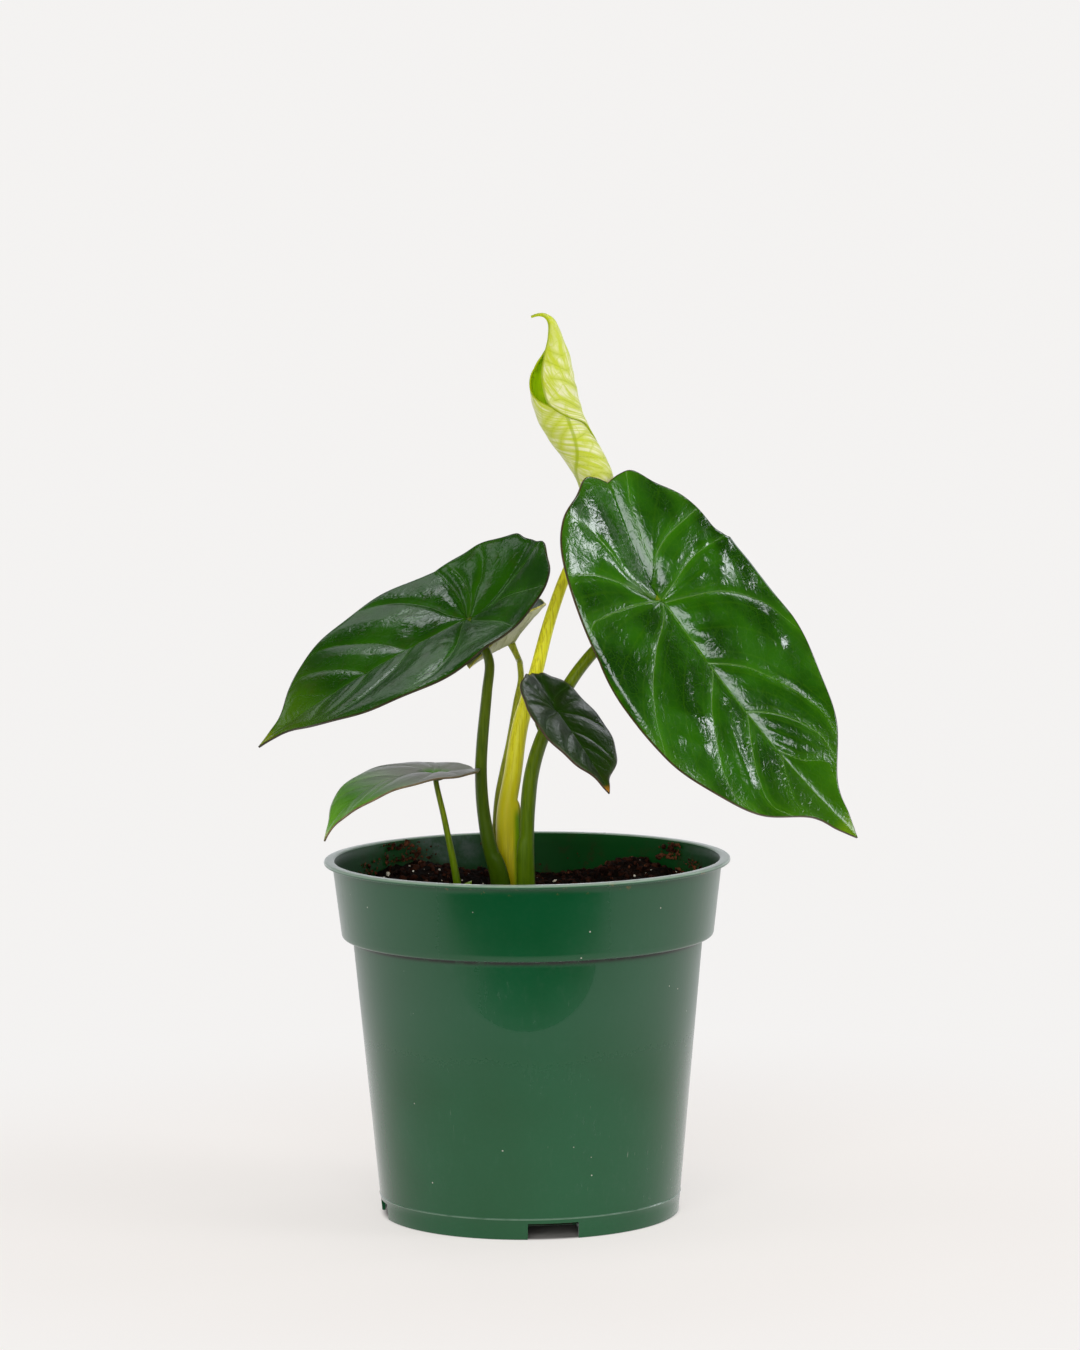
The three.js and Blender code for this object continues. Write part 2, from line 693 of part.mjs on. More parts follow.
const FINISHES = {
  pot: { color: 0x1f6145, roughness: 0.35, metalness: 0 },
  soil: { color: 0x2b1d17, roughness: 0.95, metalness: 0 },
  stem: { color: 0x5c4a2c, roughness: 0.8, metalness: 0 },
  stalk: { color: 0x5f7d1c, roughness: 0.5, metalness: 0 },
  youngStalk: { color: 0xb9b01d, roughness: 0.45, metalness: 0 },
  leaf: { color: 0x1c5a1e, roughness: 0.35, metalness: 0 },
  youngLeaf: { color: 0xc3d276, roughness: 0.5, metalness: 0 },
};

const plant = new THREE.Group();

function addPiece(name, geometry, finish) {
  const piece = new THREE.Mesh(geometry, new THREE.MeshStandardMaterial(FINISHES[finish]));
  piece.name = name;
  plant.add(piece);
}

addPiece('pot', potGeometry(), 'pot');
addPiece('soil', soilGeometry(), 'soil');
addPiece('main_stem', stemGeometry(MAIN_STEM), 'stem');
addPiece('side_stem', stemGeometry(SIDE_STEM), 'stem');
Object.keys(LEAVES).forEach((name) => {
  addPiece(`${name}_stalk`, leafStalkGeometry(name), 'stalk');
  addPiece(`${name}_blade`, bladeGeometry(LEAVES[name]), 'leaf');
});
addPiece('furled_stalk', furledStalkGeometry(), 'youngStalk');
addPiece('furled_blade', furledGeometry(), 'youngLeaf');
addPiece('cut_stalk', cutStalkGeometry(), 'youngStalk');

export default plant;
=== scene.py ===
# %% [markdown]
# # A quilted house plant in its nursery pot
# The real thing is a green plastic pot full of dark potting mix. A short stem in it carries five
# open leaves on fleshy stalks and one new leaf that is still rolled up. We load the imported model
# as a fixed frame, and then give every plain solid a finely shaped piece with its own finish.

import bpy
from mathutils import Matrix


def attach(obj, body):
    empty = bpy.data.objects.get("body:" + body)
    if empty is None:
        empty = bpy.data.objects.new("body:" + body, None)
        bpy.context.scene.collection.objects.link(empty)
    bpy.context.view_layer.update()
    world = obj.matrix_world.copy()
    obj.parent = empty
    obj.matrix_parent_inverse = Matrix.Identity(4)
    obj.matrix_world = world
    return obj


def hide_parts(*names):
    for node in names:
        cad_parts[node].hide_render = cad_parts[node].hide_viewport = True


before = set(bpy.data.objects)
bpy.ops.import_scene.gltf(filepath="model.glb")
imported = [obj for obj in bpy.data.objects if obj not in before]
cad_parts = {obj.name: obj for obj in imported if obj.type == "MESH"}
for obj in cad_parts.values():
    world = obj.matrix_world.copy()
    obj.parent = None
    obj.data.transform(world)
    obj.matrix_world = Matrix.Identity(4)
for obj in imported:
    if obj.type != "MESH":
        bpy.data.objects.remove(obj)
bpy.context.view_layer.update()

# %% Blender's own tools
import math
import random

import bmesh
import bpy
import numpy as np
from mathutils import Matrix, Vector, noise

MM = 0.001
print("nodes to dress:", sorted(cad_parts))

# %% [markdown]
# ## Camera
# The picture was taken from about two metres away with a long lens, a little above the pot's rim
# and tipped down. The camera has a slight roll, so the rim isn't quite level in the frame. A long
# lens is right here, because it keeps the pot's ellipses narrow.

# %% Camera
CAMERA = {"place": (0.0056, -1.980, 0.408), "down": 5.78, "roll": 0.53, "lens": 138.67}

camera_data = bpy.data.cameras.new("camera")
camera_data.sensor_width = 36
camera_data.lens = CAMERA["lens"]
camera = bpy.data.objects.new("camera", camera_data)
bpy.context.scene.collection.objects.link(camera)
aim = Matrix.Rotation(math.radians(90 - CAMERA["down"]), 4, "X")
aim = aim @ Matrix.Rotation(math.radians(-CAMERA["roll"]), 4, "Z")
camera.matrix_world = Matrix.Translation(CAMERA["place"]) @ aim
bpy.context.scene.camera = camera
print("camera at", CAMERA["place"])

# %% [markdown]
# ## A small language for materials
# A procedural material is a web of nodes. Written out link by link it hides the idea, so one
# class wraps a socket and lets us write sums with it, and another holds a material and adds any
# node that we name. A formula such as 1 - mask then adds its Math node by itself.

# %% A socket that can be used in sums
class Value:
    """One output socket of a material, written like a number."""

    def __init__(self, paint, socket):
        self.paint = paint
        self.socket = socket

    def math(self, operation, *others, flip=False):
        terms = [self, *others]
        if flip:
            terms.reverse()
        return self.paint.node("ShaderNodeMath", {"operation": operation}, dict(enumerate(terms)))

    def __add__(self, other):
        return self.math("ADD", other)

    def __sub__(self, other):
        return self.math("SUBTRACT", other)

    def __mul__(self, other):
        return self.math("MULTIPLY", other)

    def __truediv__(self, other):
        return self.math("DIVIDE", other)

    def __rsub__(self, other):
        return self.math("SUBTRACT", other, flip=True)

    def __abs__(self):
        return self.math("ABSOLUTE")

    def __gt__(self, other):
        return self.math("GREATER_THAN", other)

    __radd__ = __add__
    __rmul__ = __mul__

    def least(self, other):
        return self.math("MINIMUM", other)

    def most(self, other):
        return self.math("MAXIMUM", other)

    def fade(self, start, stop, low=0, high=1):
        """Runs smoothly from low to high while this value goes from start to stop."""
        return self.paint.node(
            "ShaderNodeMapRange",
            {"interpolation_type": "SMOOTHSTEP"},
            {"Value": self, "From Min": start, "From Max": stop, "To Min": low, "To Max": high},
        )


# %% A material and its nodes
class Paint:
    """A material or a world, with one method that adds any node to it."""

    def __init__(self, name, kind="materials"):
        self.owner = getattr(bpy.data, kind).new(name)
        self.owner.use_nodes = True
        self.tree = self.owner.node_tree
        self.tree.nodes.clear()

    def node(self, kind, settings=None, feeds=None, output=0):
        """Adds a node: settings first, then values or links for its sockets."""
        node = self.tree.nodes.new(kind)
        for name, value in (settings or {}).items():
            setattr(node, name, value)
        for name, value in (feeds or {}).items():
            self.feed(self.find(node.inputs, name), value)
        return Value(self, self.find(node.outputs, output))

    def find(self, sockets, name):
        if isinstance(name, int):
            return sockets[name]
        for socket in sockets:
            if socket.identifier == name:
                return socket
        return sockets[name]

    def feed(self, socket, value):
        if isinstance(value, Value):
            self.tree.links.new(value.socket, socket)
        elif isinstance(value, tuple) and socket.type == "RGBA":
            socket.default_value = (*value[:3], 1)
        else:
            socket.default_value = value

    def attribute(self, name):
        return self.node("ShaderNodeAttribute", {"attribute_name": name}, output="Vector")

    def place(self):
        """Object coordinates, in metres."""
        return self.node("ShaderNodeTexCoord", output="Object")

    def parts(self, vector):
        """The three numbers of a vector."""
        first = self.node("ShaderNodeSeparateXYZ", feeds={0: vector})
        return [Value(self, socket) for socket in first.socket.node.outputs]

    def scaled(self, vector, scale):
        feeds = {"Vector": vector, "Scale": scale}
        return self.node("ShaderNodeMapping", {"vector_type": "POINT"}, feeds)

    def pushed(self, vector, push, amount):
        """A vector moved by a colour that wanders about a half."""
        centred = self.node(
            "ShaderNodeVectorMath", {"operation": "SUBTRACT"}, {0: push, 1: (0.5, 0.5, 0.5)}
        )
        step = self.node(
            "ShaderNodeVectorMath", {"operation": "SCALE"}, {0: centred, "Scale": amount}
        )
        return self.node("ShaderNodeVectorMath", {"operation": "ADD"}, {0: vector, 1: step})

    def cloud(self, vector, scale, detail=2, roughness=0.5, colour=False):
        """Soft noise between 0 and 1."""
        feeds = {"Vector": vector, "Scale": scale, "Detail": detail, "Roughness": roughness}
        return self.node("ShaderNodeTexNoise", feeds=feeds, output=1 if colour else 0)

    def cells(self, vector, scale, feature="F1", output=0):
        """Cells round scattered points: the distance to a point or an edge, or a random colour."""
        feeds = {"Vector": vector, "Scale": scale}
        return self.node("ShaderNodeTexVoronoi", {"feature": feature}, feeds, output)

    def mix(self, low, high, share):
        """One colour turning into another as share goes from 0 to 1."""
        feeds = {"Factor_Float": share, "A_Color": low, "B_Color": high}
        return self.node("ShaderNodeMix", {"data_type": "RGBA"}, feeds, "Result_Color")

    def mix_vectors(self, low, high, share):
        feeds = {"Factor_Float": share, "A_Vector": low, "B_Vector": high}
        return self.node("ShaderNodeMix", {"data_type": "VECTOR"}, feeds, "Result_Vector")

    def bump(self, height, depth, strength=1.0, under=None):
        """A relief of that depth in metres, over another one if given."""
        feeds = {"Height": height, "Distance": depth, "Strength": strength}
        if under is not None:
            feeds["Normal"] = under
        return self.node("ShaderNodeBump", feeds=feeds)

    def surface(self, **feeds):
        """Ends the material in one Principled shader."""
        names = {name.replace("_", " "): value for name, value in feeds.items()}
        shader = self.node("ShaderNodeBsdfPrincipled", feeds=names)
        output = self.tree.nodes.new("ShaderNodeOutputMaterial")
        self.tree.links.new(shader.socket, output.inputs["Surface"])
        print("finish:", self.owner.name, "with", len(self.tree.nodes), "nodes")
        return self.owner


# %% [markdown]
# ## Floor, world and lamps
# The plant stands on a white table in front of white paper. The table glows a little by itself,
# which keeps it as even as an overexposed sweep of paper, and still takes a soft contact shadow.
# Glossy leaves and plastic mirror a dark room with bright paper low down behind, and six soft
# lamps: two at the right and four smaller, weaker ones behind, above and at the left. Each stands
# where some part of a leaf mirrors it, and so gives that part its highlight. The even light that
# shows the colours comes from very large lamps all round, which are left out of the reflections.

# %% Floor
PAPER = (0.905, 0.892, 0.882)
NEAR_PAPER = (0.918, 0.884, 0.858)
# The front edge is near, because a longer floor would show up grey in the pot's shine
FLOOR = {"half_width": 9.0, "front": -0.285, "back": 14.0, "glow": 0.66, "albedo": 0.38}
FLOOR_ZONES = {"near": 0.14, "far": 0.42, "under_pot": 0.0545, "pot_edge": 0.0585}


def floor_finish():
    """Near the pot the sheet takes light and shadow. Further out it only glows, evenly. Right
    under the pot it doesn't glow, so that the drain notches look dark."""
    paint = Paint("pale_floor")
    x, y, _ = paint.parts(paint.place())
    radius = (x * x + y * y).math("SQRT")
    far = radius.fade(FLOOR_ZONES["near"], FLOOR_ZONES["far"])
    albedo = tuple(FLOOR["albedo"] * channel for channel in NEAR_PAPER)
    glow = tuple(FLOOR["glow"] * channel for channel in NEAR_PAPER)
    clear_of_pot = radius.fade(FLOOR_ZONES["under_pot"], FLOOR_ZONES["pot_edge"])
    glow = paint.mix((0, 0, 0), glow, clear_of_pot)
    return paint.surface(
        Base_Color=paint.mix(albedo, (0, 0, 0), far),
        Roughness=0.9,
        Specular_IOR_Level=0.0,
        Emission_Color=paint.mix(glow, PAPER, far),
        Emission_Strength=1.0,
    )


floor_shape = bmesh.new()
bmesh.ops.create_grid(floor_shape, x_segments=1, y_segments=1, size=1)
for corner in floor_shape.verts:
    corner.co.x *= FLOOR["half_width"]
    corner.co.y = FLOOR["back"] if corner.co.y > 0 else FLOOR["front"]
floor_mesh = bpy.data.meshes.new("floor")
floor_shape.to_mesh(floor_mesh)
floor_shape.free()
floor_mesh.materials.append(floor_finish())
floor = bpy.data.objects.new("floor", floor_mesh)
bpy.context.scene.collection.objects.link(floor)

# %% World
SKY = {"paper": 1.3, "room": 0.025, "edge": 0.12, "soft": 0.2, "tint": (0.90, 0.89, 0.97)}


def make_world():
    """Plain paper to the camera. Reflections see it low down behind, and a dark room elsewhere."""
    web = Paint("studio", "worlds")
    direction = web.node("ShaderNodeTexCoord", output="Generated")
    _, back, up = web.parts(direction)
    behind = back.fade(0.1, 0.6)
    low = up.fade(SKY["edge"], SKY["edge"] + SKY["soft"], 1, 0)
    glow = SKY["room"] + (SKY["paper"] - SKY["room"]) * behind * low
    seen = web.node("ShaderNodeLightPath", output="Is Camera Ray")
    strength = seen + (1 - seen) * glow
    colour = web.mix(SKY["tint"], PAPER, seen)
    light = web.node("ShaderNodeBackground", feeds={"Color": colour, "Strength": strength})
    output = web.tree.nodes.new("ShaderNodeOutputWorld")
    web.tree.links.new(light.socket, output.inputs["Surface"])
    bpy.context.scene.world = web.owner
    print("world:", web.owner.name, "with", len(web.tree.nodes), "nodes")


make_world()

# %% Lamps
COOL, WARM = (0.92, 0.94, 1.0), (1.0, 0.99, 0.97)
MIRRORED_LAMPS = {
    # name: direction from the plant, distance, width, height, watts, colour
    "rear_right": ((0.859, 0.419, 0.296), 3.0, 0.72, 0.38, 8.0, COOL),
    "front_right": ((0.832, -0.270, 0.485), 3.0, 0.84, 0.64, 13.0, COOL),
    "rear_left": ((-0.709, 0.410, 0.574), 1.6, 0.32, 0.26, 0.3, COOL),
    "high_left": ((-0.369, 0.527, 0.766), 1.6, 0.36, 0.14, 0.8, COOL),
    "behind": ((-0.359, 0.736, 0.574), 2.0, 0.50, 0.60, 0.6, COOL),
    "rear_high": ((0.522, 0.644, 0.559), 1.6, 0.56, 0.32, 1.9, COOL),
}
EVEN_LAMPS = {
    "front_fill": ((-0.12, -0.97, 0.22), 2.6, 2.2, 1.8, 62.0, WARM),
    "right_fill": ((0.92, -0.25, 0.3), 2.6, 1.8, 1.8, 14.0, WARM),
    "left_fill": ((-0.95, 0.1, 0.3), 2.6, 1.8, 1.8, 10.0, WARM),
    "top_fill": ((0.05, -0.15, 1.0), 2.4, 2.0, 2.0, 18.0, WARM),
    "back_fill": ((0.0, 0.9, 0.45), 2.6, 2.0, 1.8, 14.0, WARM),
}
LAMP_AIM = Vector((0.05, -0.01, 0.24))
LAMPS = {**MIRRORED_LAMPS, **EVEN_LAMPS}

for name, (direction, distance, width, height, watts, colour) in LAMPS.items():
    lamp_data = bpy.data.lights.new(name, "AREA")
    lamp_data.shape = "RECTANGLE"
    lamp_data.size = width
    lamp_data.size_y = height
    lamp_data.energy = watts
    lamp_data.color = colour
    lamp = bpy.data.objects.new(name, lamp_data)
    towards = Vector(direction).normalized()
    turn = towards.to_track_quat("Z", "Y").to_matrix().to_4x4()
    lamp.matrix_world = Matrix.Translation(LAMP_AIM + towards * distance) @ turn
    lamp.visible_glossy = name in MIRRORED_LAMPS
    bpy.context.scene.collection.objects.link(lamp)
bpy.context.scene.view_settings.view_transform = "Standard"
print(len(LAMPS), "lamps")

# %% [markdown]
# ## Turned shapes and curves
# A pot is turned round its axis, and so, seen as plain topology, are a stalk and a leaf: a stalk
# is a turned rod that is bent later, and a leaf is a turned disc with the stalk at its middle.
# One helper spins a chain of points, and one gives evenly spaced points along a smooth curve.

# %% Spin a chain of points
TINY = 1e-5


def turned(profile, steps):
    """Closed shape, in millimetres, from (radius, height) points spun about the upright axis."""
    shape = bmesh.new()
    chain = [shape.verts.new((radius, 0, height)) for radius, height in profile]
    for start, end in zip(chain, chain[1:]):
        shape.edges.new((start, end))
    bmesh.ops.spin(
        shape, geom=shape.verts[:] + shape.edges[:], cent=(0, 0, 0), axis=(0, 0, 1),
        angle=2 * math.pi, steps=steps, use_merge=True,
    )
    bmesh.ops.remove_doubles(shape, verts=shape.verts, dist=TINY)
    bmesh.ops.recalc_face_normals(shape, faces=shape.faces)
    return shape


# %% Smooth curve through points
def smooth_curve(points, count, power=0.0, fine=24):
    """count points, evenly spaced along a Catmull-Rom curve. power 0.5 makes it centripetal."""
    points = np.array(points, dtype=float)
    first = 2 * points[0] - points[1]
    last = 2 * points[-1] - points[-2]
    padded = np.vstack([first, points, last])
    dense = []
    for i in range(1, len(padded) - 2):
        before, start, end, after = padded[i - 1:i + 3]
        gaps = [np.linalg.norm(b - a) ** power if power else 1.0
                for a, b in ((before, start), (start, end), (end, after))]
        leave = (start - before) / gaps[0] - (end - before) / (gaps[0] + gaps[1])
        leave = (leave + (end - start) / gaps[1]) * gaps[1]
        arrive = (end - start) / gaps[1] - (after - start) / (gaps[1] + gaps[2])
        arrive = (arrive + (after - end) / gaps[2]) * gaps[1]
        for step in range(fine):
            t = step / fine
            dense.append(
                (2 * t ** 3 - 3 * t ** 2 + 1) * start + (t ** 3 - 2 * t ** 2 + t) * leave
                + (-2 * t ** 3 + 3 * t ** 2) * end + (t ** 3 - t ** 2) * arrive
            )
    dense.append(points[-1])
    return evenly(np.array(dense), count)


def evenly(points, count):
    """The same chain, cut into evenly spaced points."""
    lengths = np.linalg.norm(np.diff(points, axis=0), axis=1)
    run = np.concatenate([[0], np.cumsum(lengths)])
    marks = np.linspace(0, run[-1], count)
    return np.column_stack([np.interp(marks, run, column) for column in points.T])


# %% Numbers that a mesh carries for its finish
def write_layers(shape, layers):
    """Stores three numbers per vertex under each name, for the materials to read."""
    for name, values in layers.items():
        layer = shape.verts.layers.float_vector.new(name)
        for vertex, value in zip(shape.verts, values):
            vertex[layer] = value


# %% Turn a bmesh into a piece of the plant
def make_piece(name, shape, finishes, node=None, corner=None):
    """Makes a finished piece from a bmesh in millimetres."""
    bmesh.ops.scale(shape, vec=(MM, MM, MM), verts=shape.verts)
    mesh = bpy.data.meshes.new(name)
    shape.to_mesh(mesh)
    shape.free()
    for finish in finishes:
        mesh.materials.append(finish)
    mesh.shade_smooth()
    if corner:
        mesh.set_sharp_from_angle(angle=math.radians(corner))
    piece = bpy.data.objects.new(name, mesh)
    bpy.context.scene.collection.objects.link(piece)
    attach(piece, "root")
    if node:
        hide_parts(node)
    print(f"{name}: {len(mesh.vertices)} vertices, {len(mesh.polygons)} faces")
    return piece


def give_flesh(piece, thickness):
    """Thickens a sheet to both sides. Its underside and rim take the next two finishes."""
    flesh = piece.modifiers.new("flesh", "SOLIDIFY")
    flesh.thickness = thickness * MM
    flesh.offset = 0
    flesh.use_rim = True
    flesh.material_offset = 1
    flesh.material_offset_rim = 2


# %% [markdown]
# ## Pot
# The real pot is one thin moulding: a tapered body, a wider band that leaves a shadow line under
# its step, a thin flange to lift it by, and a raised floor inside a foot ring with drain notches.
# A spun profile makes all of that. The corners are then rounded with small bevels, because a
# moulded edge always catches a thin line of light.

# %% Pot sizes, as in the part
POT = {
    "height": 137.2, "flange": 78, "lip": 1.4, "mouth": 74.3, "band_top": 74.8, "band_foot": 71.4,
    "step": 107.5, "body_top": 67.3, "foot": 57.3, "wall": 1.2, "floor": 4, "hub": 22, "slope": 4,
}
NOTCH = {"count": 4, "width": 19.4, "height": 6.2, "depth": 14, "first": 8.8}
SEAM = {"height": 7.9, "stand": 0.22, "half": 0.3}
POT_STEPS = 192


def lerp(start, end, share):
    return start + (end - start) * share


def pot_outside(height):
    return lerp(POT["foot"], POT["body_top"], height / POT["step"])


def pot_inside(height):
    ledge = POT["step"] + POT["wall"]
    if height >= ledge:
        share = (height - ledge) / (POT["height"] - ledge)
        return lerp(POT["band_foot"], POT["band_top"], share) - POT["wall"]
    return lerp(POT["foot"], POT["body_top"], height / ledge) - POT["wall"]


# %% Pot shape
def wall_points(start, end, step=3.0):
    """Points from one corner up to the next, so that a rounded corner shades only what is near."""
    count = max(1, round(math.dist(start, end) / step))
    shares = [i / count for i in range(count)]
    return [tuple(lerp(a, b, share) for a, b in zip(start, end)) for share in shares]


def pot_shape():
    wall, under = POT["wall"], POT["height"] - POT["lip"]
    ledge, floor_top = POT["step"] + wall, POT["floor"] + wall
    hub_edge = POT["hub"] + POT["slope"]
    low, high = SEAM["height"] - SEAM["half"], SEAM["height"] + SEAM["half"]
    corners = {
        (POT["foot"], 0): 0.4, (POT["body_top"], POT["step"]): 0.5,
        (POT["band_foot"], POT["step"]): 1.1, (POT["flange"], under): 0.45,
        (POT["flange"], POT["height"]): 0.6, (POT["mouth"], POT["height"]): 0.45,
        (POT["band_top"], under): 0.5, (pot_inside(ledge), ledge): 0.5,
        (POT["hub"], 0): 0.8, (hub_edge, POT["floor"]): 0.8,
    }
    profile = [
        (0, 0), (POT["hub"], 0), (hub_edge, POT["floor"]),
        (POT["foot"] - wall, POT["floor"]), (POT["foot"] - wall, 0),
        *wall_points((POT["foot"], 0), (pot_outside(low), low)),
        (pot_outside(low), low), (pot_outside(SEAM["height"]) + SEAM["stand"], SEAM["height"]),
        *wall_points((pot_outside(high), high), (POT["body_top"], POT["step"])),
        (POT["body_top"], POT["step"]),
        *wall_points((POT["band_foot"], POT["step"]), (POT["band_top"], under)),
        (POT["band_top"], under), (POT["flange"], under),
        (POT["flange"], POT["height"]), (POT["mouth"], POT["height"]),
        *wall_points((pot_inside(under), under), (pot_inside(ledge), ledge)),
        (pot_inside(ledge), ledge),
        *wall_points((POT["body_top"] - wall, ledge), (pot_inside(floor_top), floor_top)),
        (pot_inside(floor_top), floor_top),
        (hub_edge, floor_top), (POT["hub"], wall), (0, wall),
    ]
    shape = turned(profile, POT_STEPS)
    for (radius, height), width in corners.items():
        ring = [
            edge for edge in shape.edges
            if all(abs(math.hypot(v.co.x, v.co.y) - radius) < 0.01
                   and abs(v.co.z - height) < 0.01 for v in edge.verts)
        ]
        bmesh.ops.bevel(
            shape, geom=ring, offset=width, segments=3, profile=0.5, affect="EDGES", material=-1
        )
    return shape


# %% Cut the drain notches
def cut_notches(shape):
    """Takes the notches out of the foot ring with one exact boolean."""
    cutters = bmesh.new()
    for i in range(NOTCH["count"]):
        turn = math.radians(NOTCH["first"] + i * 360 / NOTCH["count"])
        place = Matrix.Rotation(turn, 4, "Z") @ Matrix.Translation((0, -POT["foot"], 0))
        size = Matrix.Diagonal((NOTCH["width"], NOTCH["depth"], NOTCH["height"] * 2, 1))
        bmesh.ops.create_cube(cutters, size=1, matrix=place @ size)
    pair = []
    for name, part in (("ring_cutter", cutters), ("ring_body", shape)):
        mesh = bpy.data.meshes.new(name)
        part.to_mesh(mesh)
        part.free()
        pair.append(bpy.data.objects.new(name, mesh))
        bpy.context.scene.collection.objects.link(pair[-1])
    cutter, body = pair
    boolean = body.modifiers.new("notches", "BOOLEAN")
    boolean.operation = "DIFFERENCE"
    boolean.solver = "EXACT"
    boolean.object = cutter
    cut = bmesh.new()
    cut.from_object(body, bpy.context.evaluated_depsgraph_get())
    for thing in pair:
        bpy.data.objects.remove(thing)
    return cut


# %% [markdown]
# ### Pot finish
# Recycled green plastic, moulded smooth: glossy enough to mirror the room softly, and greyer
# where dust and fine scuffs lie. Over the lower body and the band a greyer veil is real dust and
# painted sheen; a round patch below the step and a stretch of band above it stay deeper green, as
# a painted reflection of the dark room. A dark line right under the step is painted shadow. The
# seam is paler, as a rubbed edge is, and the lip is painted paler as its highlight. All of that
# comes from noise on Object coordinates.

# %% Pot finish
POT_LOOK = {
    "deep": (0.0006, 0.060, 0.016), "plain": (0.0016, 0.070, 0.022), "dust_and_sheen_tone": (0.03, 0.09, 0.05),
    "worn": (0.16, 0.26, 0.19), "lip": (0.32, 0.44, 0.34), "speck": (0.5, 0.5, 0.42),
    # line is near black: for the nick, and for the painted shadow under the step
    "soil": (0.035, 0.018, 0.01), "line": (0.006, 0.010, 0.005), "stain": (0.16, 0.10, 0.03),
    "inner_deep": (0.0017, 0.0435, 0.006), "inner_plain": (0.004, 0.054, 0.009),
    "sheen_patch": (0.10, 0.13, 0.125),
}
# The round patch below the step and the stretch of band above it, kept darker as a painted
# reflection of the dark room, and a nick, in metres
DARK_REFLECTION = {"x": -0.001, "z": 0.107, "reach": 0.0275, "band": 0.031}
NICK = (-0.0735, -0.006, 0.1262)
# Where each mark on the pot begins and where it is full, in metres
POT_ZONES = {
    "veil_of_dust_and_sheen": (0.050, 0.092), "step_dust": (0.1005, 0.1068), "step_end": (0.1068, 0.1085),
    "painted_step_shadow": (0.1052, 0.1066), "stain": (0.1325, 0.1350), "nick": (0.0010, 0.0016),
    "seam": (0.0001, 0.0005), "lip": (0.1362, 0.1370), "lip_radius": (0.0735, 0.0745),
    "dark_reflection_side": (-0.034, -0.008),
}
INNER_ZONES = {
    "soiled": (0.120, 0.136), "sheen_patch": (0.120, 0.131), "sheen_patch_left": (-0.052, -0.038),
    "sheen_patch_right": (-0.024, -0.012), "sheen_patch_depth": (0, 0.02),
}


def specks(paint, place, cells, size, chosen):
    """Round specks in a few of the cells round scattered points."""
    dot = paint.cells(place, cells).fade(*size, 1, 0)
    pick = paint.parts(paint.cells(place, cells, output="Color"))[0]
    return dot * pick.fade(*chosen)


